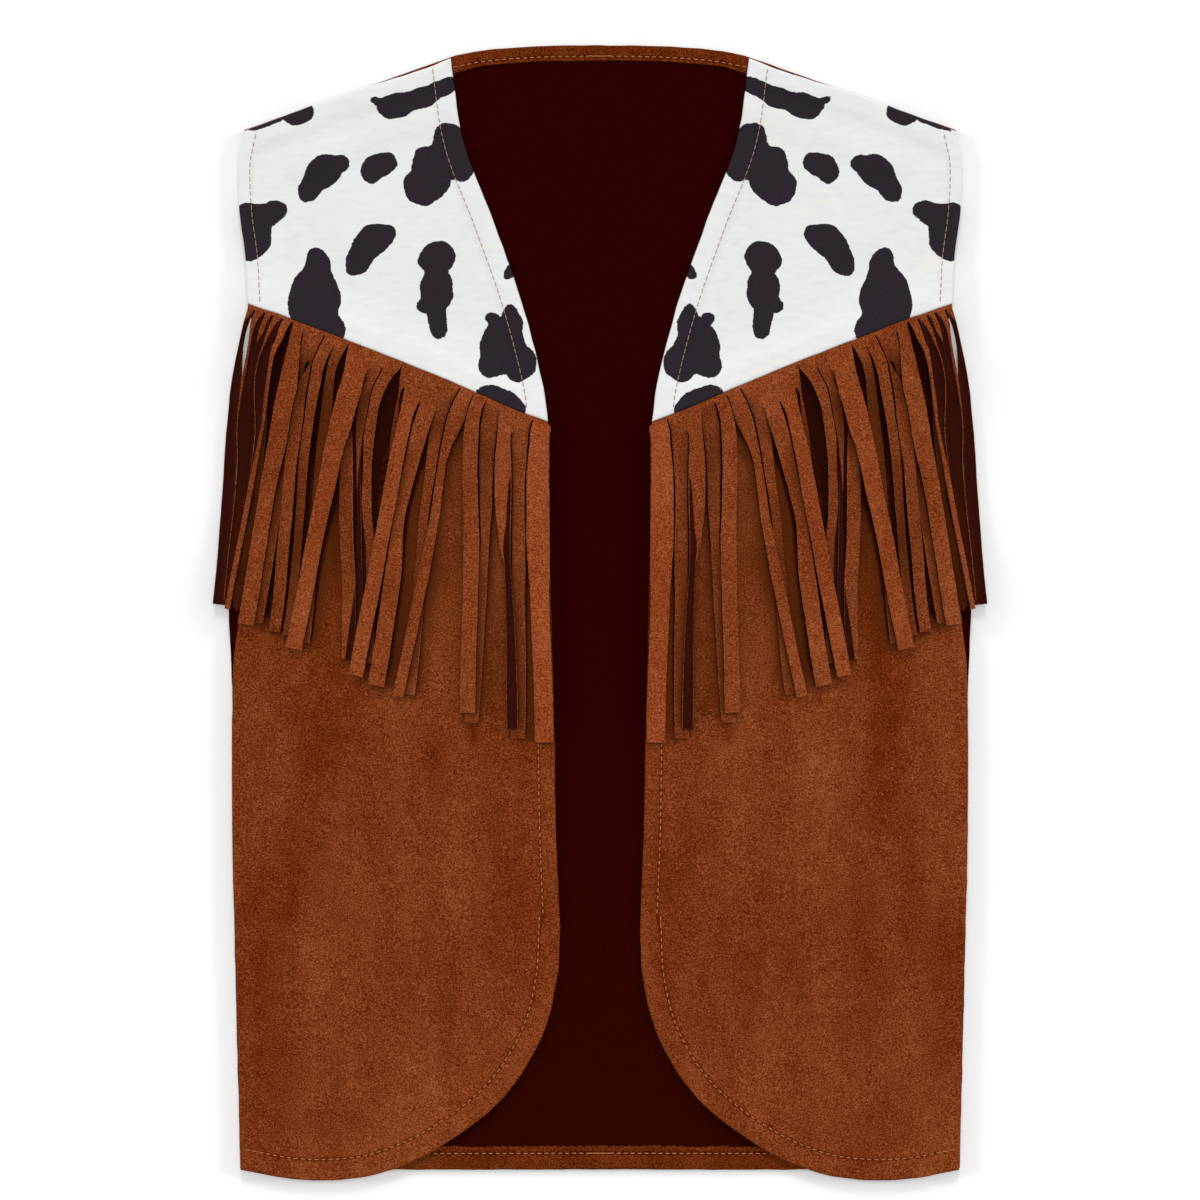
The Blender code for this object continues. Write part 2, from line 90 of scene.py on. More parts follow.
BACK_CUT = (
    Edge(((0, NECK_TOP), (-24, 227.0), (-46, 225.4), (-58, 223.2)), 6.3, 0.72),
    Edge(((-58, 223.2), (-142.6, 193.4)), 8.0),
    Edge(((-142.6, 193.4), (-143.6, 176), (-141.0, 145), (-137.5, 105), (-134.5, 70),
          (-138.5, 40), (-149.5, 20)), 6.0),
    Edge(((-149.5, 20), (-148.8, -3), (-147.5, -35), (-147.3, -95), (-144.3, -223.2)), 8.0),
    Edge(((-144.3, -223.2), (-70, -223.7), (0, -223.6)), 9.4, 0.70),
)

CORNER = ((-16.0, -127), (-17.2, -147), (-23.6, -171), (-39.2, -195), (-64, -214.2),
          (-86, -224.2), (-104, HEM_LOW), (-124, -227.0), (-143.9, -223.4))

FRONT_CUT = (
    Edge((SEAM_INNER, SEAM_OUTER), 8.0),
    Edge((SEAM_OUTER, (-136.4, 100), (-133.4, 68), (-135.5, 40), (-142.4, 16)), 6.0, 0.94),
    Edge(((-142.4, 16), (-144.6, -3), (-147.0, -24), (-147.2, -95), (-145.6, -150),
          (-143.9, -223.4)), 8.0),
    Edge(tuple(reversed(CORNER)), 9.0, 0.94),
    Edge((CORNER[0], (-17.6, -87), (-18.2, -50), (-19.7, 10), SEAM_INNER), 7.0, 0.94),
)

YOKE_CUT = (
    Edge(((-59.8, 221.8), (-68, 218.4), (-76, 215.6), (-86, 212.6), (-103, 207.3),
          (-116, 202.6), (-130, 197.2), (-142.4, 192.6)), 8.0),
    Edge(((-142.4, 192.6), (-144.9, 180), (-144.3, 160), (-142.0, 142), SEAM_OUTER), 5.0, 0.97),
    Edge((SEAM_OUTER, (-122.0, 116.8), (-92.0, 105.25), (-70.0, 96.5), (-48.0, 87.25),
          (-34.0, 81.05), SEAM_INNER), 8.0),
    Edge((SEAM_INNER, (-23.2, 92.8), (-31.6, 124.8), (-42.8, 156.8), (-54.8, 188.8),
          (-59.8, 221.8)), 8.0, 0.97),
)

Fold = namedtuple("Fold", "x y half_length half_width height lean")
FRONT_FOLDS = (
    Fold(-128, -62, 74, 11, 1.3, 0.05),
    Fold(-94, -50, 58, 13, 1.6, -0.08),
    Fold(-58, -104, 92, 17, 1.3, 0.06),
    Fold(-112, -168, 46, 15, 1.1, -0.10),
    Fold(-34, -58, 60, 10, 0.9, 0.02),
)
YOKE_FOLDS = (
    Fold(-104, 164, 34, 13, 0.9, -0.25),
    Fold(-66, 150, 44, 14, 0.8, 0.30),
)

# The strands of a fringe, as in the solids
Strand = namedtuple("Strand", "slit_x slit_depth tip_x tip_y width layer roll bend",
                    defaults=(0.09,))
STRANDS = (
    Strand(-140.8, 2.2, -152.6, 3.0, 5.0, 0, 6, 0.20),
    Strand(-137.6, 1.6, -148.4, 4.6, 2.8, 0, -6, 0.05),
    Strand(-134.1, 1.4, -146.0, 1.8, 1.6, 0, 15),
    Strand(-131.0, 1.4, -143.4, 0.2, 3.0, 0, -5),
    Strand(-127.2, 1.4, -149.0, 1.2, 2.2, 1, 35),
    Strand(-123.4, 1.4, -141.4, -5.0, 6.3, 1, -3),
    Strand(-118.5, 3.0, -136.6, -4.4, 3.4, 0, 8),
    Strand(-115.6, 14.0, -130.3, -7.8, 4.8, 0, 5, 0.30),
    Strand(-109.9, 1.4, -125.3, -9.5, 3.6, 0, -6, 0.25),
    Strand(-106.4, 4.4, -118.3, -12.4, 4.6, 0, 8, 0.20),
    Strand(-100.6, 1.4, -122.4, -14.7, 6.6, 2, -3),
    Strand(-96.0, 9.0, -100.8, -18.8, 5.4, 0, 4, 0.30),
    Strand(-93.6, 12.0, -96.4, -17.0, 2.2, 0, 12, 0.25),
    Strand(-87.1, 5.5, -92.6, -20.5, 3.8, 0, 6, 0.30),
    Strand(-79.5, 1.4, -88.4, -22.0, 3.6, 0, -5),
    Strand(-78.2, 9.9, -97.7, -25.4, 6.0, 2, 4, 0.12),
    Strand(-71.9, 13.0, -89.7, -29.4, 6.6, 1, -3, 0.26),
    Strand(-65.0, 11.0, -76.6, -33.0, 5.0, 0, 6, 0.20),
    Strand(-56.8, 1.4, -80.8, -33.8, 4.4, 1, -5),
    Strand(-51.4, 2.0, -53.0, -40.2, 6.1, 1, 3),
    Strand(-45.2, 2.2, -51.4, -44.2, 5.6, 0, -4),
    Strand(-38.3, 1.4, -35.0, -46.6, 4.6, 1, 5),
    Strand(-35.2, 9.0, -32.6, -50.6, 5.6, 0, -4),
    Strand(-26.6, 1.4, -22.3, -52.2, 7.6, 1, 2),
)

# Strands that turn over to their dark reverse. Down from the root, each pair says how far along
# and where across, from -1 at the left edge to 1 at the right, the reverse begins.
TURNED_OVER = {
    0: ((1, 1.1), (5, 0.2), (9, -1.1)),
    1: ((3, 1.1), (8, 0.6), (16, 0.1), (25, -0.4), (50, -0.8), (75, -1.1)),
    2: ((2, 1.1), (6, 0.5), (16, 0.3), (24, -1.1)),
    3: ((2, 1.1), (7, 0.45), (12, 0.1), (18, -0.3), (26, -0.8), (34, -1.1)),
    11: ((84, 1.1), (88, 0.8), (117, -0.6), (124, -1.1)),
    12: ((36, 1.1), (46, -0.2), (54, -1.1), (66, -1.1)),
    21: ((34, 1.1), (40, 0.6), (56, 0.3), (63, -0.3), (72, -1.1)),
}

# Where the strands' edges show below the seam, charted as points from the top down: the
# slits, each left of the strand it is numbered by, and single edges by strand and side
SLITS = {
    8: ((-110, 110.9), (-112.4, 105.6), (-114.9, 100), (-116.8, 88.8), (-118, 78.2),
        (-120.2, 63.9)),
    13: ((-87.6, 96.4), (-91, 89.3), (-92.7, 80.3), (-94.9, 69.7), (-95.4, 44.8)),
    18: ((-56.1, 89.4), (-58.9, 84), (-61.4, 77.8), (-64.2, 64.8), (-65.9, 54.1), (-68.1, 38.1)),
    20: ((-45.8, 84.1), (-46.9, 80.7), (-48, 75), (-48.7, 60.8), (-48.5, 43), (-48, 28.8)),
    21: ((-39.9, 79.6), (-41, 72.9), (-42.2, 60.8), (-42.8, 43)),
    22: ((-35.4, 71.5), (-35.5, 60.8), (-35.4, 44.8), (-35.8, 28.8)),
    23: ((-27, 76.4), (-28.2, 72.2), (-29, 62.8), (-29.8, 44.8), (-29.7, 28.8)),
}
EDGES = {
    (0, 1): ((-139.2, 119), (-141.1, 113.8), (-142.9, 105.7), (-143.3, 98.8), (-143.4, 92.4)),
    (1, -1): ((-137.8, 120.8), (-139.8, 115), (-140.5, 107.5), (-141.3, 101.7), (-143, 92.4),
              (-144.2, 80)),
    (1, 1): ((-134.6, 119.6), (-136.5, 113.2), (-137.4, 107.5), (-138.3, 101.7), (-139, 92.4)),
    (2, -1): ((-133.8, 119), (-136.1, 113.2), (-137, 107.5), (-138, 101.7), (-138.8, 92.4)),
    (2, 1): ((-131.6, 118.2), (-132.8, 113.2), (-134, 107.5), (-135.5, 101.7), (-136.5, 95.9)),
    (3, -1): ((-130.7, 117.6), (-132.4, 113.2), (-134.6, 105.7), (-136.1, 100), (-136.9, 94.8)),
    (3, 1): ((-128, 116.1), (-129.1, 111.5), (-130.5, 107.5), (-131.4, 102.8), (-132.8, 92.4)),
    (4, -1): ((-127, 116.2), (-129.4, 108.6), (-130.9, 104.6), (-132.4, 93), (-134, 84.4),
              (-134.9, 75.7)),
    (4, 1): ((-123.8, 115.3), (-126.5, 108.6), (-128.8, 104.6), (-130.3, 98.8), (-132.6, 84.4),
             (-133.8, 75.7)),
    (5, -1): ((-123.1, 113.8), (-124.1, 109.8), (-126.2, 100.5), (-128.2, 90.1), (-131, 75.7)),
    (5, 1): ((-118.9, 114.1), (-119.8, 106.8), (-120.4, 98.8), (-120.6, 90.1), (-122.5, 81.5),
             (-124.1, 72.8)),
    (6, -1): ((-118.3, 113.8), (-119.6, 106.8), (-122.3, 100), (-125, 92), (-127, 84)),
    (6, 1): ((-115.8, 100.3), (-118.5, 95), (-121.1, 90), (-123.1, 82), (-124.4, 74)),
    (7, -1): ((-115.6, 100.3), (-118.6, 95), (-121.2, 90), (-123.2, 82), (-124.5, 74)),
    (8, 1): ((-108.4, 102.5), (-111.2, 93.8), (-111.9, 88.8), (-114.3, 76.4), (-116.2, 62)),
    (9, -1): ((-107.8, 102.8), (-109.8, 93.8), (-112.3, 76.4), (-114, 62)),
    (9, 1): ((-100.6, 107.5), (-105, 98.8), (-106.3, 91.9), (-106.8, 82)),
    (10, 1): ((-94.2, 92.4), (-95.7, 86.5), (-97.9, 79.6), (-100.1, 71.6), (-102.3, 66),
              (-104.1, 58.5)),
    (11, 1): ((-98.8, 75.9), (-99, 69.7), (-99, 57.2), (-98.8, 46)),
    (12, -1): ((-94, 92.1), (-97.3, 79.6), (-98, 70.9), (-97.5, 44.8)),
    (13, 1): ((-80.2, 97.1), (-83.9, 92.7), (-86, 88.4), (-88.3, 82.1), (-89.7, 72.8),
              (-91, 63.5), (-91.2, 44.8)),
    (16, 1): ((-65.7, 81.1), (-67.7, 74.8), (-70, 67.5), (-72.7, 59.5), (-76, 46.8), (-78, 38.1)),
    (18, 1): ((-51.1, 86.4), (-52.7, 81.6), (-54.5, 76.1), (-57, 71.1), (-59.7, 65.8),
              (-61.7, 59.5), (-62.8, 50.1), (-64.1, 38.1)),
    (19, -1): ((-50.3, 86.8), (-52.7, 80.8), (-54, 74.8), (-54.5, 70.1), (-54.6, 36.8)),
    (21, -1): ((-42.2, 56.8), (-42.2, 44.8), (-41.6, 39.2), (-40, 25.6), (-38, 18.8),
               (-37.6, 4.8), (-37.4, -29.2)),
    (21, 1): ((-35.4, 71.5), (-35.5, 60.8), (-35.5, 39.2), (-35.8, 18.8), (-34.2, -2),
              (-33, -29.2)),
    (23, 1): ((-21, 77), (-19.7, 72.8), (-20.2, 62.9), (-20.4, 53), (-20, 28.8)),
}

# How wide a slit is at its root, half its width further down, how far past its last charted
# point an edge returns to its own line, and how far a root's slant reaches
SLIT = 0.5
SLIT_HALF = 0.3
CHART_FADE = 26.0
SLANT_FADE = 18.0

# Strands tucked under both neighbours: how much wider and how much lower they lie
TUCKED = {1: (1.7, 0.35), 3: (1.7, 0.35)}

# How much painted light a strand gets over its painted shade: by its layer, as the low layers
# lie in more shade, and for the strand at the front edge
LIT_SHARE_OF_LAYER = (0.20, 0.42, 0.62)
LIT_SHARE_OF_LAST = 0.85

# The seam bows a little between its ends: places along X and how far up it lies there
SEAM_BOW = ((-140.8, 0.4), (-122.0, 0.95), (-92.0, 1.15), (-70.0, 1.0), (-48.0, 0.4),
            (-34.0, -0.3), (-20.8, -0.45))

# How finely the shells are cut up: the distances from the edge at which rings run round it, the
# depth shares at which they run where the turned cloth ends crisply or softly, how much closer
# the points lie behind the fringe, and how far those of a row keep from the ring at a fold's end
FINE_STEP = 2.6
YOKE_STEP = 1.5
BACK_STEP = 3.0
ROUND_RINGS = (0.14, 0.42, 0.85)
CRISP_RINGS = (0.60, 0.72, 0.84, 0.975, 1.025)
SOFT_RINGS = (0.84, 0.94, 1.03, 1.16)
CLOSER = 0.55
ROW_SHARE = 0.87
CRISP_KEEP = 0.08
SOFT_KEEP = 0.22

# A panel's relief. The rounding of its edge, and what is left of the wall at its rim
EDGE_ROUND = 0.95
EDGE_FLAT = 0.25
# The share over which the step of the turned cloth softens: crisp, and beside plain edges
CRISP_FADE = 0.02
PLAIN_SOFTER = 0.30
# The groove of the stitching, in millimetres and shares, and the half width of its painted shade
GROOVE_DEPTH = 0.24
GROOVE_HALF = 0.075
GROOVE_SHADE_HALF = 0.06
# Height and size of the puckers, the slack, the cut's wandering and the edge's waver
PUCKERS = (0.13, 4.5)
SLACK = (0.22, 26.0)
CUT_WANDER = (0.035, 9.0)
EDGE_WAVER = (0.22, 7.0)

# How far and in what size of wave a patch's rim bends, how softly its ovals run together, and
# how far from a rim the distance to it is told
RIM_BEND = 1.1
RIM_BEND_SIZE = 6.5
PATCH_BLEND = 0.55
PATCH_FAR = 6.0

# The cow patches of a yoke, charted as overlapping ovals
Patch = namedtuple("Patch", "x y half_length half_width turn")
COW_PATCHES = (
    Patch(-120.8, 199.6, 6.2, 4.8, 20),
    Patch(-133.4, 195.6, 8.0, 1.4, 20),
    Patch(-110.5, 176.5, 8.2, 6.4, 35),
    Patch(-116.0, 170.0, 6.4, 5.0, 65),
    Patch(-103.6, 179.6, 3.2, 3.1, 0),
    Patch(-88.0, 179.2, 7.6, 4.8, 15),
    Patch(-91.5, 175.5, 4.2, 3.9, 40),
    Patch(-82.2, 202.4, 7.6, 5.0, 10),
    Patch(-73.0, 205.6, 8.4, 4.2, 14),
    Patch(-63.0, 209.8, 8.4, 3.4, 22),
    Patch(-89.0, 204.6, 3.6, 1.5, -20),
    Patch(-69.4, 171.6, 9.4, 7.8, 10),
    Patch(-58.6, 184.2, 12.6, 7.8, -68),
    Patch(-71.6, 167.6, 6.0, 4.8, 0),
    Patch(-67.8, 180.2, 8.0, 7.0, 15),
    Patch(-56.4, 179.2, 6.0, 5.0, -60),
    Patch(-136.0, 158.8, 10.6, 4.8, 8),
    Patch(-138.6, 150.4, 9.6, 6.6, 80),
    Patch(-130.0, 161.2, 4.4, 4.0, 0),
    Patch(-142.0, 159.4, 5.0, 4.2, 0),
    Patch(-140.6, 146.0, 5.0, 4.6, 0),
    Patch(-91.2, 148.4, 8.4, 6.4, 35),
    Patch(-96.2, 141.6, 7.8, 5.2, 58),
    Patch(-84.8, 151.8, 3.2, 3.1, 0),
    Patch(-114.2, 124.0, 15.8, 10.4, 88),
    Patch(-113.4, 137.4, 8.6, 5.4, 90),
    Patch(-110.0, 114.0, 8.4, 7.0, -40),
    Patch(-65.2, 141.6, 7.6, 6.8, 20),
    Patch(-65.6, 128.6, 9.0, 6.8, 88),
    Patch(-70.4, 122.8, 2.8, 2.6, 0),
    Patch(-65.0, 117.2, 8.0, 4.2, 95),
    Patch(-36.0, 136.4, 4.0, 2.2, 70),
    Patch(-39.0, 106.0, 10.6, 9.2, -80),
    Patch(-35.4, 115.8, 7.2, 4.3, -82),
    Patch(-31.6, 100.0, 6.6, 6.2, 0),
    Patch(-33.4, 95.8, 4.2, 3.9, 0),
    Patch(-43.6, 100.0, 6.4, 5.4, 70),
    Patch(-43.4, 117.4, 2.6, 2.4, 0),
    Patch(-41.2, 85.4, 8.8, 4.8, -20),
    Patch(-35.0, 82.4, 5.6, 4.2, -30),
)

# Darker places in the fronts' nap
DarkPlace = namedtuple("DarkPlace", "x y half_length half_width strength")
DARK_PLACES = (
    DarkPlace(-113, -48, 42, 7, 0.75),
    DarkPlace(-124, -108, 30, 6, 0.60),
    DarkPlace(-96, -40, 26, 8, 0.55),
    DarkPlace(-70, -62, 34, 9, 0.35),
    DarkPlace(-51, -49, 4, 2.5, 1.1),
    DarkPlace(-67, -57, 3, 2.2, 0.8),
    DarkPlace(-48, -92, 40, 10, 0.30),
    DarkPlace(-86, -150, 38, 12, 0.35),
    DarkPlace(-136, -160, 52, 8, 0.45),
    DarkPlace(-30, -130, 40, 7, 0.25),
    DarkPlace(-106, 12, 46, 9, 0.70),
    DarkPlace(-84, -8, 30, 6, 0.35),
    DarkPlace(-60, -150, 22, 5, 0.30),
)

# The band bends down under the yoke's rim: how far below the seam, and by how much
BAND_BENDS = ((-0.7, 1.1), (0.5, 0.4))

# Where strands can hide a place from the light: above this Y, and within this reach. The light
# comes from these headings, mostly from the outer side, and this many degrees above the table.
HIDDEN_ABOVE = -62.0
HIDDEN_REACH = 14.0
LIGHT_HEADINGS = (100, 130, 160, 190, 220, 0, -50, -100)
LIGHT_STEEPNESS = (14, 26, 42, 62)
RAY_START = 0.12
FACES_DOWN = -0.2

# How far below the seam the painted shade in the gaps stays near black, by the distance from
# the middle, and how much darker the fronts' painted shade is there and further down, from one
# distance from the middle to another
DEEP_REACH = ((100.0, 80.0), (110.0, 52.0), (126.0, 32.0))
DARKER_AT_ROOTS = (1.1, (64.0, 82.0))
DARKER_BELOW = (0.3, (96.0, 114.0))

# The strands' own shade starts softly this far below the seam
SHADE_FROM_ROOT = (2.0, 22.0)

# The back's face shows this far in along the shoulders, which are the edges above this Y
SHOULDER_SEEN = 1.9
SHOULDER_LOW = 193.0

# The rows of stitches: radius and length of the suede's brown ones and of the cotton's finer
# ones, how far a row is sewn on past the ends of its edge, and how near a plain edge it stops
STITCH_PITCH = 2.8
BROWN_STITCH = (0.25, 1.9)
TAN_STITCH = (0.16, 2.72)
SEWN_PAST = 5.0
STOPS_SHORT = 0.6
ROW_STEP = 1.5

# A stitch's cross-sections along it, as shares of its half length, and the sides of each. Its
# ends sink and grow thin, it lies a little askew, and its middle stands up by a share.
STITCH_SECTIONS = (-1.0, -0.86, -0.4, 0.4, 0.86, 1.0)
THREAD_SIDES = 6
ENDS_SINK = 0.34
ENDS_THIN = 0.55
STITCH_SLANT = 0.10
STANDS_UP = 0.75


def smoothstep(low, high, value):
    """Rises softly from 0 at low to 1 at high."""
    t = np.clip((value - low) / (high - low), 0.0, 1.0)
    return t * t * (3.0 - 2.0 * t)


def unit(run):
    """The direction of a run, with a length of one."""
    return run / np.linalg.norm(run)


def headings(path):
    """The direction of a path at each of its points, and the direction to its left."""
    heading = np.gradient(path, axis=0)
    heading /= np.linalg.norm(heading, axis=1)[:, None]
    return heading, np.stack([-heading[:, 1], heading[:, 0]], axis=1)


def curve_through(points, step):
    """Points about a step apart along a smooth curve through the given ones."""
    fixed = [np.array(point, dtype=float) for point in points]
    padded = [2 * fixed[0] - fixed[1]] + fixed + [2 * fixed[-1] - fixed[-2]]
    path = []
    for before, start, end, after in zip(padded, padded[1:], padded[2:], padded[3:]):
        length = np.linalg.norm(end - start)
        leave = unit(end - before) * length
        arrive = unit(after - start) * length
        count = max(1, round(length / step))
        for index in range(count):
            t = index / count
            path.append((2 * t**3 - 3 * t**2 + 1) * start + (t**3 - 2 * t**2 + t) * leave
                        + (3 * t**2 - 2 * t**3) * end + (t**3 - t**2) * arrive)
    return path + [fixed[-1]]


class Outline:
    """A panel's closed outline, counter-clockwise, with what its edges say for each side."""

    def __init__(self, edges, step):
        points = []
        owners = []
        for edge in edges:
            path = curve_through(edge.points, step)
            points += path[:-1]
            owners += [edge] * (len(path) - 1)
        self.points = np.array(points)
        self.depths = np.array([edge.depth for edge in owners])
        self.stitches = np.array([edge.stitch for edge in owners])

    def area(self):
        """The panel's flat area in square metres."""
        x, y = self.points.T
        return abs((x * np.roll(y, -1) - y * np.roll(x, -1)).sum()) / 2 * MM * MM

    def distances(self, points):
        """The distance of every point to every side."""
        along = np.roll(self.points, -1, axis=0) - self.points
        squared = (along**2).sum(1)
        rows = []
        for part in np.array_split(points, max(1, len(points) // 1500)):
            offset = part[:, None] - self.points
            reach = np.clip((offset * along).sum(2) / squared, 0, 1)
            rows.append(np.linalg.norm(offset - reach[..., None] * along, axis=2))
        return np.concatenate(rows)

    def edge_distance(self, points):
        """The distance of every point to the outline."""
        return self.distances(points).min(axis=1)

    def turned(self, points):
        """Distance from the edge, counted in turned depths: 1 where the turned cloth ends."""
        return (self.distances(points) / self.depths).min(axis=1)

    def contains(self, points):
        """True for each point inside the outline."""
        x, y = points[:, 0, None], points[:, 1, None]
        x0, y0 = self.points.T
        x1, y1 = np.roll(self.points, -1, axis=0).T
        crosses = (y0 > y) != (y1 > y)
        safe_rise = np.where(y1 == y0, 1.0, y1 - y0)
        to_the_left = x < (x1 - x0) * (y - y0) / safe_rise + x0
        return (crosses & to_the_left).sum(axis=1) % 2 == 1

    def ring(self, reaches):
        """The outline drawn inwards by a reach for each side, without its crossed points."""
        along = np.roll(self.points, -1, axis=0) - self.points
        along /= np.linalg.norm(along, axis=1)[:, None]
        inward = np.stack([-along[:, 1], along[:, 0]], axis=1)
        ring = []
        for index, corner in enumerate(self.points):
            normals = np.array([inward[index - 1], inward[index]])
            reach = np.array([reaches[index - 1], reaches[index]])
            if abs(np.linalg.det(normals)) > 0.3:
                ring.append(corner + np.linalg.solve(normals, reach))
            else:
                middle = normals.mean(axis=0)
                ring.append(corner + middle / (middle @ middle) * reach.mean())
        ring = np.array(ring)
        kept = (self.distances(ring) / reaches).min(axis=1) > 0.985
        return ring[kept & self.contains(ring)]


def mirrored_edges(edges):
    """The same edges on the other half, in the order that keeps the outline turning left."""
    return tuple(edge._replace(points=tuple((-x, y) for x, y in reversed(edge.points)))
                 for edge in reversed(edges))


COARSE_BACK = Outline(BACK_CUT + mirrored_edges(BACK_CUT), COARSE_STEP)
COARSE_FRONT = Outline(FRONT_CUT, COARSE_STEP)


def off_seam():
    """The direction square to the slanted seam, away from the yoke."""
    run = unit(np.array(SEAM_INNER) - np.array(SEAM_OUTER))
    return np.array((run[1], -run[0]))


def on_right_half(points):
    """The points brought over to -X, because both halves have one shape."""
    return np.stack([-np.abs(points[:, 0]), points[:, 1]], axis=1)


def over_back(points):
    """The height at which a panel clears the back and the ridge of its turned edges."""
    near = 1.0 - smoothstep(*BACK_EDGE_FADE, COARSE_BACK.turned(points))
    beyond = ~COARSE_BACK.contains(points)
    return SUEDE + GAP + TURNED * np.where(beyond, 1.0, near)


def soft_folds(points, folds):
    """The lift of the broad folds at each point of the right half."""
    lift = np.zeros(len(points))
    for fold in folds:
        along = points[:, 1] - fold.y
        across = points[:, 0] - fold.x - fold.lean * along
        ends = 1.0 - smoothstep(FOLD_END_FADE, 1.0, np.abs(along) / fold.half_length)
        lift += fold.height * np.exp(-(across / fold.half_width) ** 2) * ends
    return lift


def front_bottom(points):
    """The underside of a front."""
    points = on_right_half(points)
    free = smoothstep(*FOLD_EDGE_FADE, COARSE_FRONT.edge_distance(points))
    return over_back(points) + soft_folds(points, FRONT_FOLDS) * free


def yoke_bottom(points):
    """The underside of a yoke, which rolls up over the seam's allowances."""
    points = on_right_half(points)
    above_seam = (np.array(SEAM_OUTER) - points) @ off_seam()
    rolled = 1.0 - smoothstep(*SEAM_ROLL_FADE, above_seam)
    rim = 0.35 * (1.0 - smoothstep(0.0, 6.0, above_seam))
    return over_back(points) + SEAM_ROLL * rolled + soft_folds(points, YOKE_FOLDS) + rim


def back_bottom(points):
    """The back's underside rests flat on the table."""
    return np.zeros(len(points))


def groove(share, stitch, half):
    """1 where a stitched edge is pulled in along its stitches, and 0 away from them."""
    return np.where(stitch > 0, np.exp(-((share - stitch) / half) ** 2), 0.0)


def uneven(points, size, seed):
    """A soft random field from -1 to 1, with waves about a size long."""
    return np.array([noise.noise(Vector((x / size, y / size, seed))) for x, y in points])


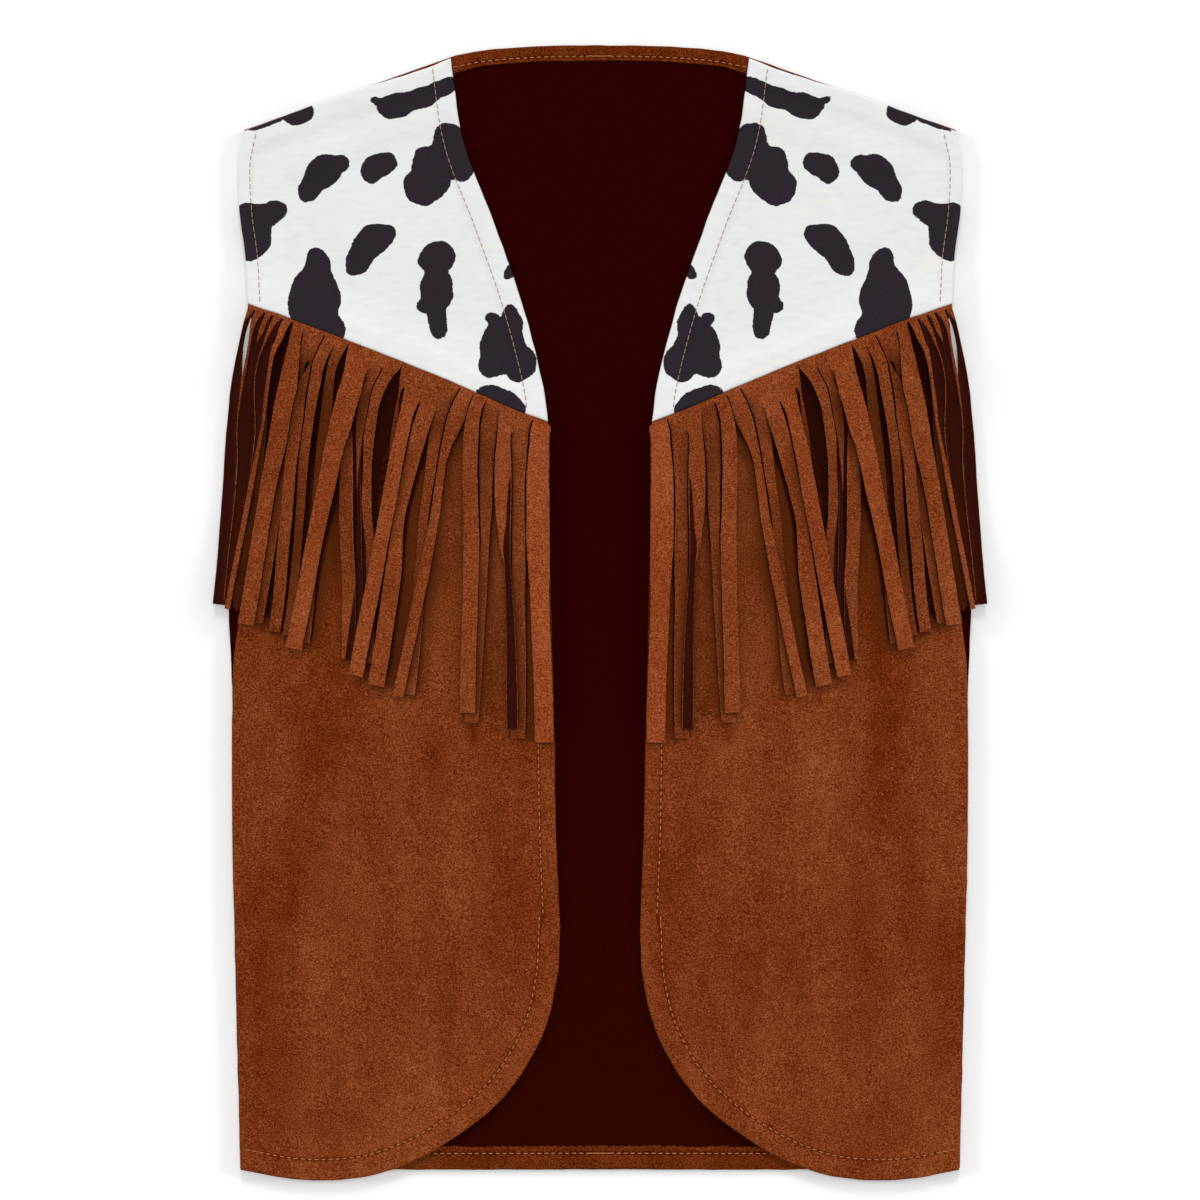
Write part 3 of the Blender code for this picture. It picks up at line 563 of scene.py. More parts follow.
class Panel:
    """A cloth panel as a fine closed shell with turned, rounded and stitched edges."""

    def __init__(self, edges, bottom, wall, seed, step=FINE_STEP, crisp=False,
                 fine_above=None):
        self.line = Outline(edges, step)
        self.bottom = bottom
        self.wall = wall
        self.seed = seed
        self.step = step
        self.crisp = crisp
        self.fine_above = fine_above

    def nearest_edge(self, points):
        """The turned share at each point, and the stitching share of the edge it is nearest."""
        shares = self.line.distances(points) / self.line.depths
        nearest = shares.argmin(axis=1)
        return shares.min(axis=1), self.line.stitches[nearest]

    def seen_share(self, points):
        """The turned share at each point, counted from the stitched edges alone."""
        stitched = self.line.stitches > 0
        return (self.line.distances(points)[:, stitched] / self.line.depths[stitched]).min(axis=1)

    def turned_end(self, points):
        """Where the turned cloth ends near each point, as a share: its cut is never straight."""
        amount, size = CUT_WANDER
        return 1.0 + amount * uneven(points, size, self.seed + 3.0)

    def top(self, points):
        """The height of the upper side, away from the rounding of the edge."""
        share, stitch = self.nearest_edge(points)
        end = self.turned_end(points)
        if self.crisp:
            doubled = 1.0 - smoothstep(end - CRISP_FADE, end + CRISP_FADE, share)
        else:
            soft = np.where(stitch > 0, 0.0, PLAIN_SOFTER)
            doubled = 1.0 - smoothstep(end - 0.05 - soft, end + 0.20 + soft, share)
        height, size = PUCKERS
        close = 1.0 - smoothstep(0.9, 2.4, share)
        puckers = height * uneven(points, size, self.seed) * close * (stitch > 0)
        height, size = SLACK
        slack = height * uneven(points, size, self.seed + 9.0) * smoothstep(1.0, 3.0, share)
        return (self.bottom(points) + self.wall + TURNED * doubled
                - GROOVE_DEPTH * groove(share, stitch, GROOVE_HALF) + puckers + slack)

    def mesh(self):
        """The panel's flat points and the triangles between them."""
        rings = [self.line.points]
        ones = np.ones(len(self.line.points))
        rings += [self.line.ring(ones * reach) for reach in ROUND_RINGS]
        rings += [self.line.ring(self.line.depths * share)
                  for share in (CRISP_RINGS if self.crisp else SOFT_RINGS)]
        low, high = self.line.points.min(axis=0), self.line.points.max(axis=0)
        grid = []
        y = low[1] + self.step / 2
        row = 0
        while y < high[1]:
            step = self.step * (CLOSER if self.fine_above and y > self.fine_above else 1.0)
            for column in range(ceil((high[0] - low[0]) / step) + 1):
                grid.append((low[0] + (column + 0.5 * (row % 2)) * step, y))
            y += step * ROW_SHARE
            row += 1
        grid = np.array(grid)
        grid = grid[self.line.contains(grid)]
        depth = self.line.edge_distance(grid)
        share, _ = self.nearest_edge(grid)
        grid = grid[(depth > ROUND_RINGS[-1] + 0.5 * self.step)
                    & (np.abs(share - 1.0) > (CRISP_KEEP if self.crisp else SOFT_KEEP))]
        points = [Vector(point) for ring in rings for point in ring]
        points += [Vector(point) for point in grid]
        sides = []
        first = 0
        for ring in rings:
            count = len(ring)
            sides += [(first + i, first + (i + 1) % count) for i in range(count)]
            first += count
        boundary = [list(range(len(rings[0])))]
        flat, _, faces, _, _, _ = delaunay_2d_cdt(points, sides, boundary, 1, 1e-5)
        return np.array([tuple(point) for point in flat]), np.array([tuple(f) for f in faces])

    def shell(self, name, materials, reverse_inside=False):
        """The finished piece in two materials: its face, and its reverse past the turned cloth.

        The reverse is on the lower side, or on the upper side where the inside faces up.
        """
        flat, triangles = self.mesh()
        count = len(flat)
        rounding = np.clip(self.line.edge_distance(flat) / EDGE_ROUND, 0.0, 1.0)
        rise = np.sqrt(1.0 - (1.0 - rounding) ** 2)
        rise = EDGE_FLAT + (1.0 - EDGE_FLAT) * rise
        low = self.bottom(flat)
        high = self.top(flat)
        middle = (low + high) / 2
        high = middle + (high - middle) * rise
        low = middle + (low - middle) * rise
        if self.bottom is back_bottom:
            low = np.maximum(low, 0.0)
        amount, size = EDGE_WAVER
        nudge = amount * (1.0 - smoothstep(0.0, 3.0, rounding * EDGE_ROUND))
        flat = flat + np.stack([uneven(flat, size, self.seed + 5.0) * nudge,
                                uneven(flat, size, self.seed + 6.0) * nudge], axis=1)
        vertices = np.concatenate([np.column_stack([flat, low]), np.column_stack([flat, high])])
        used = {(a, b) for face in triangles for a, b in zip(face, np.roll(face, -1))}
        walls = [(a, b, count + b, count + a) for a, b in sorted(used) if (b, a) not in used]
        faces = [tuple(face[::-1]) for face in triangles]
        faces += [tuple(count + face) for face in triangles]
        faces += walls
        centres = flat[triangles].mean(axis=1)
        end = self.turned_end(centres)
        slots = np.zeros(len(faces), dtype=int)
        if reverse_inside:
            at_shoulder = (centres[:, 1] > SHOULDER_LOW) & (
                self.line.edge_distance(centres) < SHOULDER_SEEN)
            slots[len(triangles):2 * len(triangles)] = (
                (self.seen_share(centres) > end) & ~at_shoulder)
        else:
            slots[:len(triangles)] = self.nearest_edge(centres)[0] > end
        piece = cloth_piece(name, vertices, faces, materials, slots)
        share, stitch = self.nearest_edge(flat)
        # Painted shade along the stitching's groove
        painted_groove_shade = groove(share, stitch, GROOVE_SHADE_HALF)
        give(piece, "groove", np.concatenate([np.zeros(count), painted_groove_shade]))
        return piece


def cloth_piece(name, vertices, faces, materials, slots):
    """A smooth mesh object in metres from corners in millimetres."""
    mesh = bpy.data.meshes.new(name)
    mesh.from_pydata([tuple(v) for v in np.asarray(vertices) * MM], [], faces)
    mesh.validate()
    piece = bpy.data.objects.new(name, mesh)
    bpy.context.scene.collection.objects.link(piece)
    for material in materials:
        mesh.materials.append(material)
    mesh.polygons.foreach_set("material_index", np.asarray(slots, dtype=np.int32))
    mesh.shade_smooth()
    mesh.set_sharp_from_angle(angle=radians(50))
    mesh.update()
    return piece


def give(piece, name, values):
    """Stores one number for each corner of a piece, for its material to read."""
    attribute = piece.data.attributes.new(name, "FLOAT", "POINT")
    attribute.data.foreach_set("value", np.asarray(values, dtype=np.float32))


def places_of(piece):
    """Where the corners of a piece lie, brought over to -X, in millimetres."""
    places = np.empty(3 * len(piece.data.vertices), dtype=np.float32)
    piece.data.vertices.foreach_get("co", places)
    return on_right_half(places.reshape(-1, 3)[:, :2] / MM).astype(float)


def mark_cow_patches(piece):
    """Stores how far each corner is from the nearest patch's rim, below 0 inside a patch."""
    points = places_of(piece)
    bent = points + RIM_BEND * np.stack([uneven(points, RIM_BEND_SIZE, 21.0),
                                         uneven(points, RIM_BEND_SIZE, 22.0)], axis=1)
    soft = np.zeros(len(points))
    for patch in COW_PATCHES:
        turn = radians(patch.turn)
        offset = bent - (patch.x, patch.y)
        along = offset[:, 0] * cos(turn) + offset[:, 1] * sin(turn)
        across = offset[:, 1] * cos(turn) - offset[:, 0] * sin(turn)
        reach = np.sqrt((along / patch.half_length) ** 2 + (across / patch.half_width) ** 2)
        rim = (reach - 1.0) * min(patch.half_length, patch.half_width)
        soft += np.exp(np.clip(-rim / PATCH_BLEND, -60, 60))
    give(piece, "patch_rim", np.clip(-PATCH_BLEND * np.log(soft), -PATCH_FAR, PATCH_FAR))


def mark_dark_places(piece):
    """Stores how dark the nap is made at each corner of a front by the darker places."""
    points = places_of(piece)
    dark = np.zeros(len(points))
    for place in DARK_PLACES:
        along = (points[:, 1] - place.y) / place.half_length
        across = (points[:, 0] - place.x) / place.half_width
        dark += place.strength * np.exp(-(along**2 + across**2))
    give(piece, "dark_place", dark)


def bezier(points, t):
    """A point on a curve with four control points."""
    a, b, c, d = points
    return (1 - t) ** 3 * a + 3 * (1 - t) ** 2 * t * b + 3 * (1 - t) * t**2 * c + t**3 * d


def edge_chart(index, side):
    """The charted points of one edge of a strand, from its own row or from its slit's."""
    if (index, side) in EDGES:
        return EDGES[index, side]
    slit = SLITS.get(index if side < 0 else index + 1, ())
    return tuple((x - side * SLIT_HALF, y) for x, y in slit)


def drawn_through(edge, chart):
    """An edge moved sideways through its charted points, and back to its own line below."""
    if not chart:
        return edge
    x, y = np.array(chart).T
    shift = x - np.interp(-y, -edge[:, 1], edge[:, 0])
    moved = np.interp(-edge[:, 1], -y, shift) * smoothstep(y[-1] - CHART_FADE, y[-1], edge[:, 1])
    return edge + np.stack([moved, np.zeros(len(edge))], axis=1)


class Ribbon:
    """One strand of the fringe: its middle line, widths, rolls and heights, root to tip."""

    def __init__(self, index, strand, root_left, root_right):
        self.index = index
        self.strand = strand
        self.root = (root_left, root_right)
        start = (self.root[0] + self.root[1]) / 2
        tip = np.array((strand.tip_x, strand.tip_y))
        self.length = np.linalg.norm(tip - start)
        self.handles = (start, start + off_seam() * self.length * strand.bend,
                        tip + (start - tip) * TIP_BEND, tip)
        steps = np.linspace(0, 1, STRAND_SEGMENTS + 1)
        self.travel = steps * self.length
        self.middle, self.across, self.width, self.roll = self.course(steps)
        self.across[:2] = self.across[2]
        self.width[:2] = np.minimum(self.width[:2], self.width[2])
        self.height = np.full(STRAND_SEGMENTS + 1, band_height(np.array(self.root)).mean())

    def course(self, steps):
        """The middle line, the sideways direction, the width and the roll at some steps."""
        travel = steps * self.length
        middle = np.array([bezier(self.handles, t) for t in steps])
        _, across = headings(middle)
        widening = smoothstep(*WIDTH_FADE, travel)
        root_width = (self.root[1][0] - self.root[0][0]) * across[0][0]
        width = root_width + (self.strand.width - root_width) * widening
        edges = []
        for side, corner in zip((-1, 1), self.root):
            edge = middle + across * (side * width / 2)[:, None]
            slant = 1.0 - smoothstep(0.0, SLANT_FADE, travel)
            edge = edge + (corner - edge[0]) * slant[:, None]
            edges.append(drawn_through(edge, edge_chart(self.index, side)))
        span = edges[1] - edges[0]
        width = np.linalg.norm(span, axis=1)
        roll = radians(self.strand.roll) * smoothstep(*ROLL_FADE, travel)
        return (edges[0] + edges[1]) / 2, span / width[:, None], width, roll

    def half_span(self):
        """Half the strand's width as seen from above."""
        return self.width / 2 * np.cos(self.roll) + FRINGE / 2 * np.abs(np.sin(self.roll))

    def settle(self, support):
        """Lays the strand on what is under it, and lets it rise and fall only gently."""
        need = np.zeros(STRAND_SEGMENTS + 1)
        half_wall = FRINGE / 2 / np.cos(self.roll)
        for share in np.linspace(-1, 1, 7):
            sideways = share * (self.half_span() + BESIDE_STRAND)
            points = self.middle + self.across * sideways[:, None]
            lean = np.clip(sideways, -self.half_span(), self.half_span()) * np.tan(self.roll)
            need = np.maximum(need, support(points) + half_wall - lean)
        need[0] = self.height[0]
        apart = np.abs(self.travel[:, None] - self.travel)
        held = need[None, 1:] - STRAND_SLOPE * apart[1:, 1:]
        self.height[1:] = np.maximum(held.max(axis=1), need[0] - STRAND_SLOPE * self.travel[1:])

    def top_at(self, points):
        """The strand's upper side at each point, or minus infinity beside it."""
        result = np.full(len(points), -np.inf)
        half_spans = self.half_span() + BESIDE_STRAND
        reach = self.travel[-1] / STRAND_SEGMENTS * ALONG_STRAND + BESIDE_STRAND
        for index, point in enumerate(points):
            offset = point - self.middle
            station = int(np.argmin((offset**2).sum(axis=1)))
            for near in range(max(station - 1, 0), min(station + 1, STRAND_SEGMENTS) + 1):
                side_x, side_y = self.across[near]
                sideways = offset[near] @ self.across[near]
                lengthways = abs(offset[near] @ np.array((side_y, -side_x)))
                span = half_spans[near] - BESIDE_STRAND
                if abs(sideways) > half_spans[near] or lengthways > reach:
                    continue
                lean = np.clip(sideways, -span, span) * tan(self.roll[near])
                top = self.height[near] + lean + FRINGE / 2 / cos(self.roll[near])
                result[index] = max(result[index], top)
        return result


def seam_point(x, depth):
    """A point some depth below the bowed seam at a place along X."""
    share = (x - SEAM_OUTER[0]) / (SEAM_INNER[0] - SEAM_OUTER[0])
    straight = SEAM_OUTER[1] + share * (SEAM_INNER[1] - SEAM_OUTER[1])
    return np.array((x, straight + np.interp(x, *zip(*SEAM_BOW)) - depth))


def band_height(points):
    """The middle height of the fringe's band, which lies on the front's doubled top edge."""
    return front_bottom(points) + SUEDE + TURNED + PANEL_CLEAR + FRINGE / 2


def support_for(ribbons):
    """The height to clear under a strand, from the table, the panels and lower strands."""

    def support(points):
        height = np.full(len(points), TABLE_CLEAR)
        beside_back = COARSE_BACK.edge_distance(points) < BESIDE_PANEL
        height[COARSE_BACK.contains(points) | beside_back] = SUEDE + TURNED + PANEL_CLEAR
        beside_front = COARSE_FRONT.edge_distance(points) < BESIDE_PANEL
        on_front = COARSE_FRONT.contains(points) | beside_front
        doubled = COARSE_FRONT.turned(points) < DOUBLED_WITHIN
        cloth = front_bottom(points) + SUEDE + TURNED * doubled + PANEL_CLEAR
        height[on_front] = cloth[on_front]
        for ribbon in ribbons:
            height = np.maximum(height, ribbon.top_at(points) + STRAND_CLEAR)
        return height

    return support


def lay_strands():
    """Every strand of one half, the low layers laid before those that cross them."""
    slits = [(strand.slit_x, strand.slit_depth) for strand in STRANDS]
    slits.append((SEAM_INNER[0], STRANDS[-1].slit_depth))
    ribbons = []
    for index, strand in enumerate(STRANDS):
        left_inset = 0.0 if index == 0 else SLIT / 2
        right_inset = 0.0 if index == len(STRANDS) - 1 else SLIT / 2
        left = seam_point(slits[index][0] + left_inset, slits[index][1])
        right = seam_point(slits[index + 1][0] - right_inset, slits[index + 1][1])
        ribbons.append(Ribbon(index, strand, left, right))
    laid = []
    for layer in sorted({strand.layer for strand in STRANDS}):
        for ribbon in ribbons:
            if ribbon.strand.layer == layer:
                ribbon.settle(support_for(laid))
                laid.append(ribbon)
    return ribbons


# A strand's lower side from left to right, in half widths and half walls, with its cut edges
# rounded off. The upper side comes back over it the same way.
SECTION = ((-1.0, 0.55), (-0.92, 1.0), (-0.6, 1.0), (-0.3, 1.0), (0.0, 1.0), (0.3, 1.0),
           (0.6, 1.0), (0.92, 1.0), (1.0, 0.55))
STATIONS = 60

# Past this stretch of its length a strand waves and curls freely, by so much. Its width varies
# by a share, and the place where it turns over wanders.
FREE_FADE = (4.0, 30.0)
STRAND_WAVE = 0.4
WAVE_SIZE = 24.0
STRAND_CURL = 0.25
WIDTH_VARIES = 0.05
CUT_SIZE = 5.0
TURN_WANDERS = 0.12

# Where a tucked strand grows wider and lies lower, along its length
TUCK_WIDER = (20.0, 40.0)
TUCK_LOWER = (8.0, 24.0)

# The ridge where a strand turns over, its half width, and the mark of one that doesn't
TURNED_RIDGE = 0.35
RIDGE_HALF = 0.7
NOT_TURNED = 9.0


def strand_rings(ribbon, index):
    """The cross-sections of one detailed strand, and how far each corner is into its reverse."""
    steps = np.linspace(0, 1, STATIONS + 1)
    middle, across, width, roll = ribbon.course(steps)
    travel = steps * ribbon.length
    height = np.interp(travel, ribbon.travel, ribbon.height)
    kernel = np.array((1, 2, 3, 2, 1)) / 9
    height[2:-2] = np.convolve(height, kernel, mode="same")[2:-2]
    free = smoothstep(*FREE_FADE, travel)
    seed = 3.7 * index
    ripple = np.array([noise.noise(Vector((t / WAVE_SIZE, seed, 1.0))) for t in travel])
    cut = np.array([noise.noise(Vector((t / CUT_SIZE, seed, 2.0))) for t in travel])
    middle = middle + across * (STRAND_WAVE * ripple * free)[:, None]
    width = width * (1.0 + WIDTH_VARIES * cut * free)
    if index in TUCKED:
        wider, lower = TUCKED[index]
        width = width + wider * smoothstep(*TUCK_WIDER, travel)
        height = height - lower * smoothstep(*TUCK_LOWER, travel)
    begins = np.full(len(steps), NOT_TURNED)
    if index in TURNED_OVER:
        begins = np.interp(travel, *zip(*TURNED_OVER[index])) + TURN_WANDERS * ripple
    rings = []
    reverse = []
    for station in range(len(steps)):
        rounded = min(1.0, station / 2)
        angle = roll[station]
        for upward, sides in ((-1, SECTION), (1, SECTION[::-1])):
            for side, rise in sides:
                up = upward * (1.0 + (rise - 1.0) * rounded) * FRINGE / 2
                out = side * width[station] / 2
                shift = out * cos(angle) - up * sin(angle)
                x, y = middle[station] + across[station] * shift
                z = height[station] + out * sin(angle) + up * cos(angle)
                into = (side - begins[station]) * width[station] / 2
                ridge = TURNED_RIDGE * np.exp(-(into / RIDGE_HALF) ** 2) * (upward > 0)
                rings.append((x, y, z + STRAND_CURL * side * side * free[station] + ridge))
                reverse.append(into)
    count = 2 * len(SECTION)
    return [(rings[i:i + count], reverse[i:i + count]) for i in range(0, len(rings), count)]


# The materials of a strand's sides, in the order in which a fringe is given them
FACE_SIDE = 0
REVERSE_SIDE = 1
CUT_SIDE = 2


class Comb:
    """The corners and faces of a fringe while its strands and its band are put together."""

    def __init__(self):
        self.vertices = []
        self.reverse = []
        self.nap = []
        self.faces = []
        self.slots = []

    def add(self, corners, into=None, lit_share=LIT_SHARE_OF_LAYER[1]):
        """Takes in corners, with how far each is into the reverse, and gives their numbers."""
        self.vertices.extend(corners)
        self.reverse.extend(into or [-NOT_TURNED] * len(corners))
        # Each corner's share of painted light over painted shade, of which lower strand layers
        # get less
        self.nap.extend([lit_share] * len(corners))
        return list(range(len(self.vertices) - len(corners), len(self.vertices)))

    def face(self, corners, slot):
        """One face with its material."""
        self.faces.append(tuple(corners))
        self.slots.append(slot)

    def strand(self, ribbon, index, lit_share):
        """One strand from its root to its closed tip. Gives the numbers of its root's corners."""
        width = len(SECTION)
        turn = 2 * width
        rings = strand_rings(ribbon, index)
        root = before = self.add(*rings[0])
        for ring in rings[1:]:
            now = self.add(*ring, lit_share)
            for corner in range(turn):
                after = (corner + 1) % turn
                if corner in (0, width - 2, width - 1, width, turn - 2, turn - 1):
                    slot = CUT_SIDE
                else:
                    slot = REVERSE_SIDE if corner < width else FACE_SIDE
                self.face((before[corner], before[after], now[after], now[corner]), slot)
            before = now
        self.face(before, CUT_SIDE)
        return root

    def column(self, corner, depth, drop):
        """The band's lower and upper corner some way below the seam, above a root corner."""
        x, y = seam_point(corner[0], depth)
        middle = float(band_height(np.array([corner]))[0]) - drop
        return self.add([(x, y, middle - FRINGE / 2), (x, y, middle + FRINGE / 2)])

    def band(self, left, right, under, over):
        """The stretch of band between two pairs of columns and the corners that hang from it."""
        (up_left, mid_left), (up_right, mid_right) = left, right
        self.face((up_left[0], up_right[0], mid_right[0], mid_left[0]), REVERSE_SIDE)
        self.face((mid_left[0], mid_right[0], *reversed(under)), REVERSE_SIDE)
        self.face((mid_left[1], mid_right[1], up_right[1], up_left[1]), FACE_SIDE)
        self.face((*over, mid_right[1], mid_left[1]), FACE_SIDE)
        self.face((up_right[0], up_left[0], up_left[1], up_right[1]), FACE_SIDE)

    def band_end(self, column, low, high, flip):
        """One of the band's two cut ends."""
        up, mid = column
        for corners in ((up[0], mid[0], mid[1], up[1]), (mid[0], low, high, mid[1])):
            self.face(reversed(corners) if flip else corners, CUT_SIDE)


def fringe(name, ribbons, materials):
    """The comb of strands at -X: a narrow band sewn under the yoke, slit into ribbons."""
    comb = Comb()
    columns = []
    roots = []
    for index, ribbon in enumerate(ribbons):
        at_front_edge = index == len(ribbons) - 1
        # Painted light by layer: strands in the lower layers get more painted shade
        lit_share = LIT_SHARE_OF_LAST if at_front_edge else LIT_SHARE_OF_LAYER[ribbon.strand.layer]
        roots.append(comb.strand(ribbon, index, lit_share))
        columns.append([[comb.column(corner, *bend) for bend in BAND_BENDS]
                        for corner in ribbon.root])
    width = len(SECTION)
    for index, root in enumerate(roots):
        left, right = columns[index]
        comb.band(left, right, root[:width], root[:width - 1:-1])
        if index + 1 < len(roots):
            following = roots[index + 1]
            comb.face((root[width - 1], following[0], following[-1], root[width]), CUT_SIDE)
            comb.band(right, columns[index + 1][0], [root[width - 1], following[0]],
                      [root[width], following[-1]])
    comb.band_end(columns[0][0], roots[0][0], roots[0][-1], False)
    comb.band_end(columns[-1][1], roots[-1][width - 1], roots[-1][width], True)
    piece = cloth_piece(name, comb.vertices, comb.faces, materials, comb.slots)
    give(piece, "reverse", comb.reverse)
    # The nap attribute holds each strand's share of painted light over its painted shade
    give(piece, "nap", comb.nap)
    return piece


def mirrored(piece, name):
    """The same piece for the other half."""
    twin = piece.copy()
    twin.data = piece.data.copy()
    twin.name = name
    bpy.context.scene.collection.objects.link(twin)
    for vertex in twin.data.vertices:
        vertex.co.x = -vertex.co.x
    twin.data.flip_normals()
    return twin


def light_rays():
    """The directions from which light falls in between the strands of the -X half."""
    return [Vector((cos(radians(heading)) * cos(radians(steep)),
                    sin(radians(heading)) * cos(radians(steep)), sin(radians(steep))))
            for steep in LIGHT_STEEPNESS for heading in LIGHT_HEADINGS]


def mark_hidden(piece, comb_tree, own_strands=False):
    """Stores how much of the light around it each corner misses behind the strands."""
    rays = light_rays()
    hidden = []
    for vertex in piece.data.vertices:
        if vertex.co.y < HIDDEN_ABOVE * MM:
            hidden.append(0.0)
        elif vertex.normal.z < FACES_DOWN:
            hidden.append(1.0)
        else:
            side = -1.0 if vertex.co.x > 0 else 1.0
            start = (vertex.co + vertex.normal * (RAY_START * MM)) * Vector((side, 1.0, 1.0))
            missed = sum(comb_tree.ray_cast(start, ray, HIDDEN_REACH * MM)[0] is not None
                         for ray in rays)
            hidden.append(missed / len(rays))
    places = places_of(piece)
    below_seam = (places - SEAM_OUTER) @ off_seam()
    if own_strands:
        hidden = hidden * smoothstep(*SHADE_FROM_ROOT, below_seam)
    else:
        from_middle = -places[:, 0]
        near_root = 1.0 - smoothstep(0.35, 1.0,
                                     below_seam / np.interp(from_middle, *zip(*DEEP_REACH)))
        at_roots, roots_fade = DARKER_AT_ROOTS
        below, below_fade = DARKER_BELOW
        hidden = hidden * (1.0 + at_roots * near_root * smoothstep(*roots_fade, from_middle)
                           + below * (1.0 - near_root) * smoothstep(*below_fade, from_middle))
    give(piece, "hidden", hidden)


def stitch_path(panel, edge):
    """The line that a row of topstitching takes along an edge, sewn on a little past its ends."""
    path = curve_through(edge.points, ROW_STEP)
    before = path[0] + unit(path[0] - path[1]) * SEWN_PAST
    beyond = path[-1] + unit(path[-1] - path[-2]) * SEWN_PAST
    path = np.array([before, *path, beyond])
    _, inward = headings(path)
    line = path + inward * edge.depth * edge.stitch
    reached, stitch = panel.nearest_edge(line)
    clear_of_plain = (stitch == 0) & (panel.line.edge_distance(line) > STOPS_SHORT)
    return line[panel.line.contains(line) & ((reached > edge.stitch * 0.96) | clear_of_plain)]


def stitch_row(line, panel, radius, length):
    """Short thread loops along a line, each one sunk at its ends."""
    travel = np.concatenate([[0.0], np.cumsum(np.linalg.norm(np.diff(line, axis=0), axis=1))])
    count = round(travel[-1] / STITCH_PITCH)
    pitch = travel[-1] / count
    bends = np.array(STITCH_SECTIONS)
    places = np.concatenate([(index + 0.5) * pitch + bends * length / 2
                             for index in range(count)])
    places = np.clip(places, 0.0, travel[-1])
    spots = np.stack([np.interp(places, travel, line[:, axis]) for axis in (0, 1)], axis=1)
    heights = panel.top(spots)
    vertices = []
    faces = []
    for first in range(0, len(spots), len(bends)):
        group = spots[first:first + len(bends)]
        level = heights[first:first + len(bends)].mean()
        heading = unit(group[-1] - group[0])
        leftward = np.array((-heading[1], heading[0]))
        slant = STITCH_SLANT * noise.noise(Vector((group[0][0], group[0][1], 4.0)))
        base = len(vertices)
        for bend, spot in zip(bends, group):
            sunk = level + radius * STANDS_UP - ENDS_SINK * abs(bend) ** 3
            thin = radius * (1.0 - ENDS_THIN * abs(bend) ** 4)
            for corner in range(THREAD_SIDES):
                angle = 2 * pi * corner / THREAD_SIDES
                x, y = spot + leftward * (slant * bend + thin * cos(angle))
                vertices.append((x, y, sunk + thin * sin(angle)))
        for start in range(base, base + (len(bends) - 1) * THREAD_SIDES, THREAD_SIDES):
            for corner in range(THREAD_SIDES):
                after = (corner + 1) % THREAD_SIDES
                faces.append((start + corner, start + after,
                              start + THREAD_SIDES + after, start + THREAD_SIDES + corner))
        faces.append(tuple(base + corner for corner in reversed(range(THREAD_SIDES))))
        faces.append(tuple(len(vertices) - THREAD_SIDES + corner
                           for corner in range(THREAD_SIDES)))
    return vertices, faces


def stitch_rows(panel, edges, size, slot):
    """A row for each stitched edge of a panel, with the number of its thread."""
    return [(stitch_row(stitch_path(panel, edge), panel, *size), slot)
            for edge in edges if edge.stitch > 0]


def stitching(name, rows, materials):
    """One piece from several rows of stitches, a material for each row."""
    vertices = []
    faces = []
    slots = []
    for (row_vertices, row_faces), slot in rows:
        first = len(vertices)
        vertices += row_vertices
        faces += [tuple(first + corner for corner in face) for face in row_faces]
        slots += [slot] * len(row_faces)
    return cloth_piece(name, vertices, faces, materials, slots)


class Value:
    """A number that changes over a surface, for sums written as plain expressions."""

    def __init__(self, look, socket):
        self.look = look
        self.socket = socket

    def __add__(self, other):
        return self.look.maths("ADD", self, other)

    def __sub__(self, other):
        return self.look.maths("SUBTRACT", self, other)

    def __rsub__(self, other):
        return self.look.maths("SUBTRACT", other, self)

    def __mul__(self, other):
        return self.look.maths("MULTIPLY", self, other)

    __radd__ = __add__
    __rmul__ = __mul__


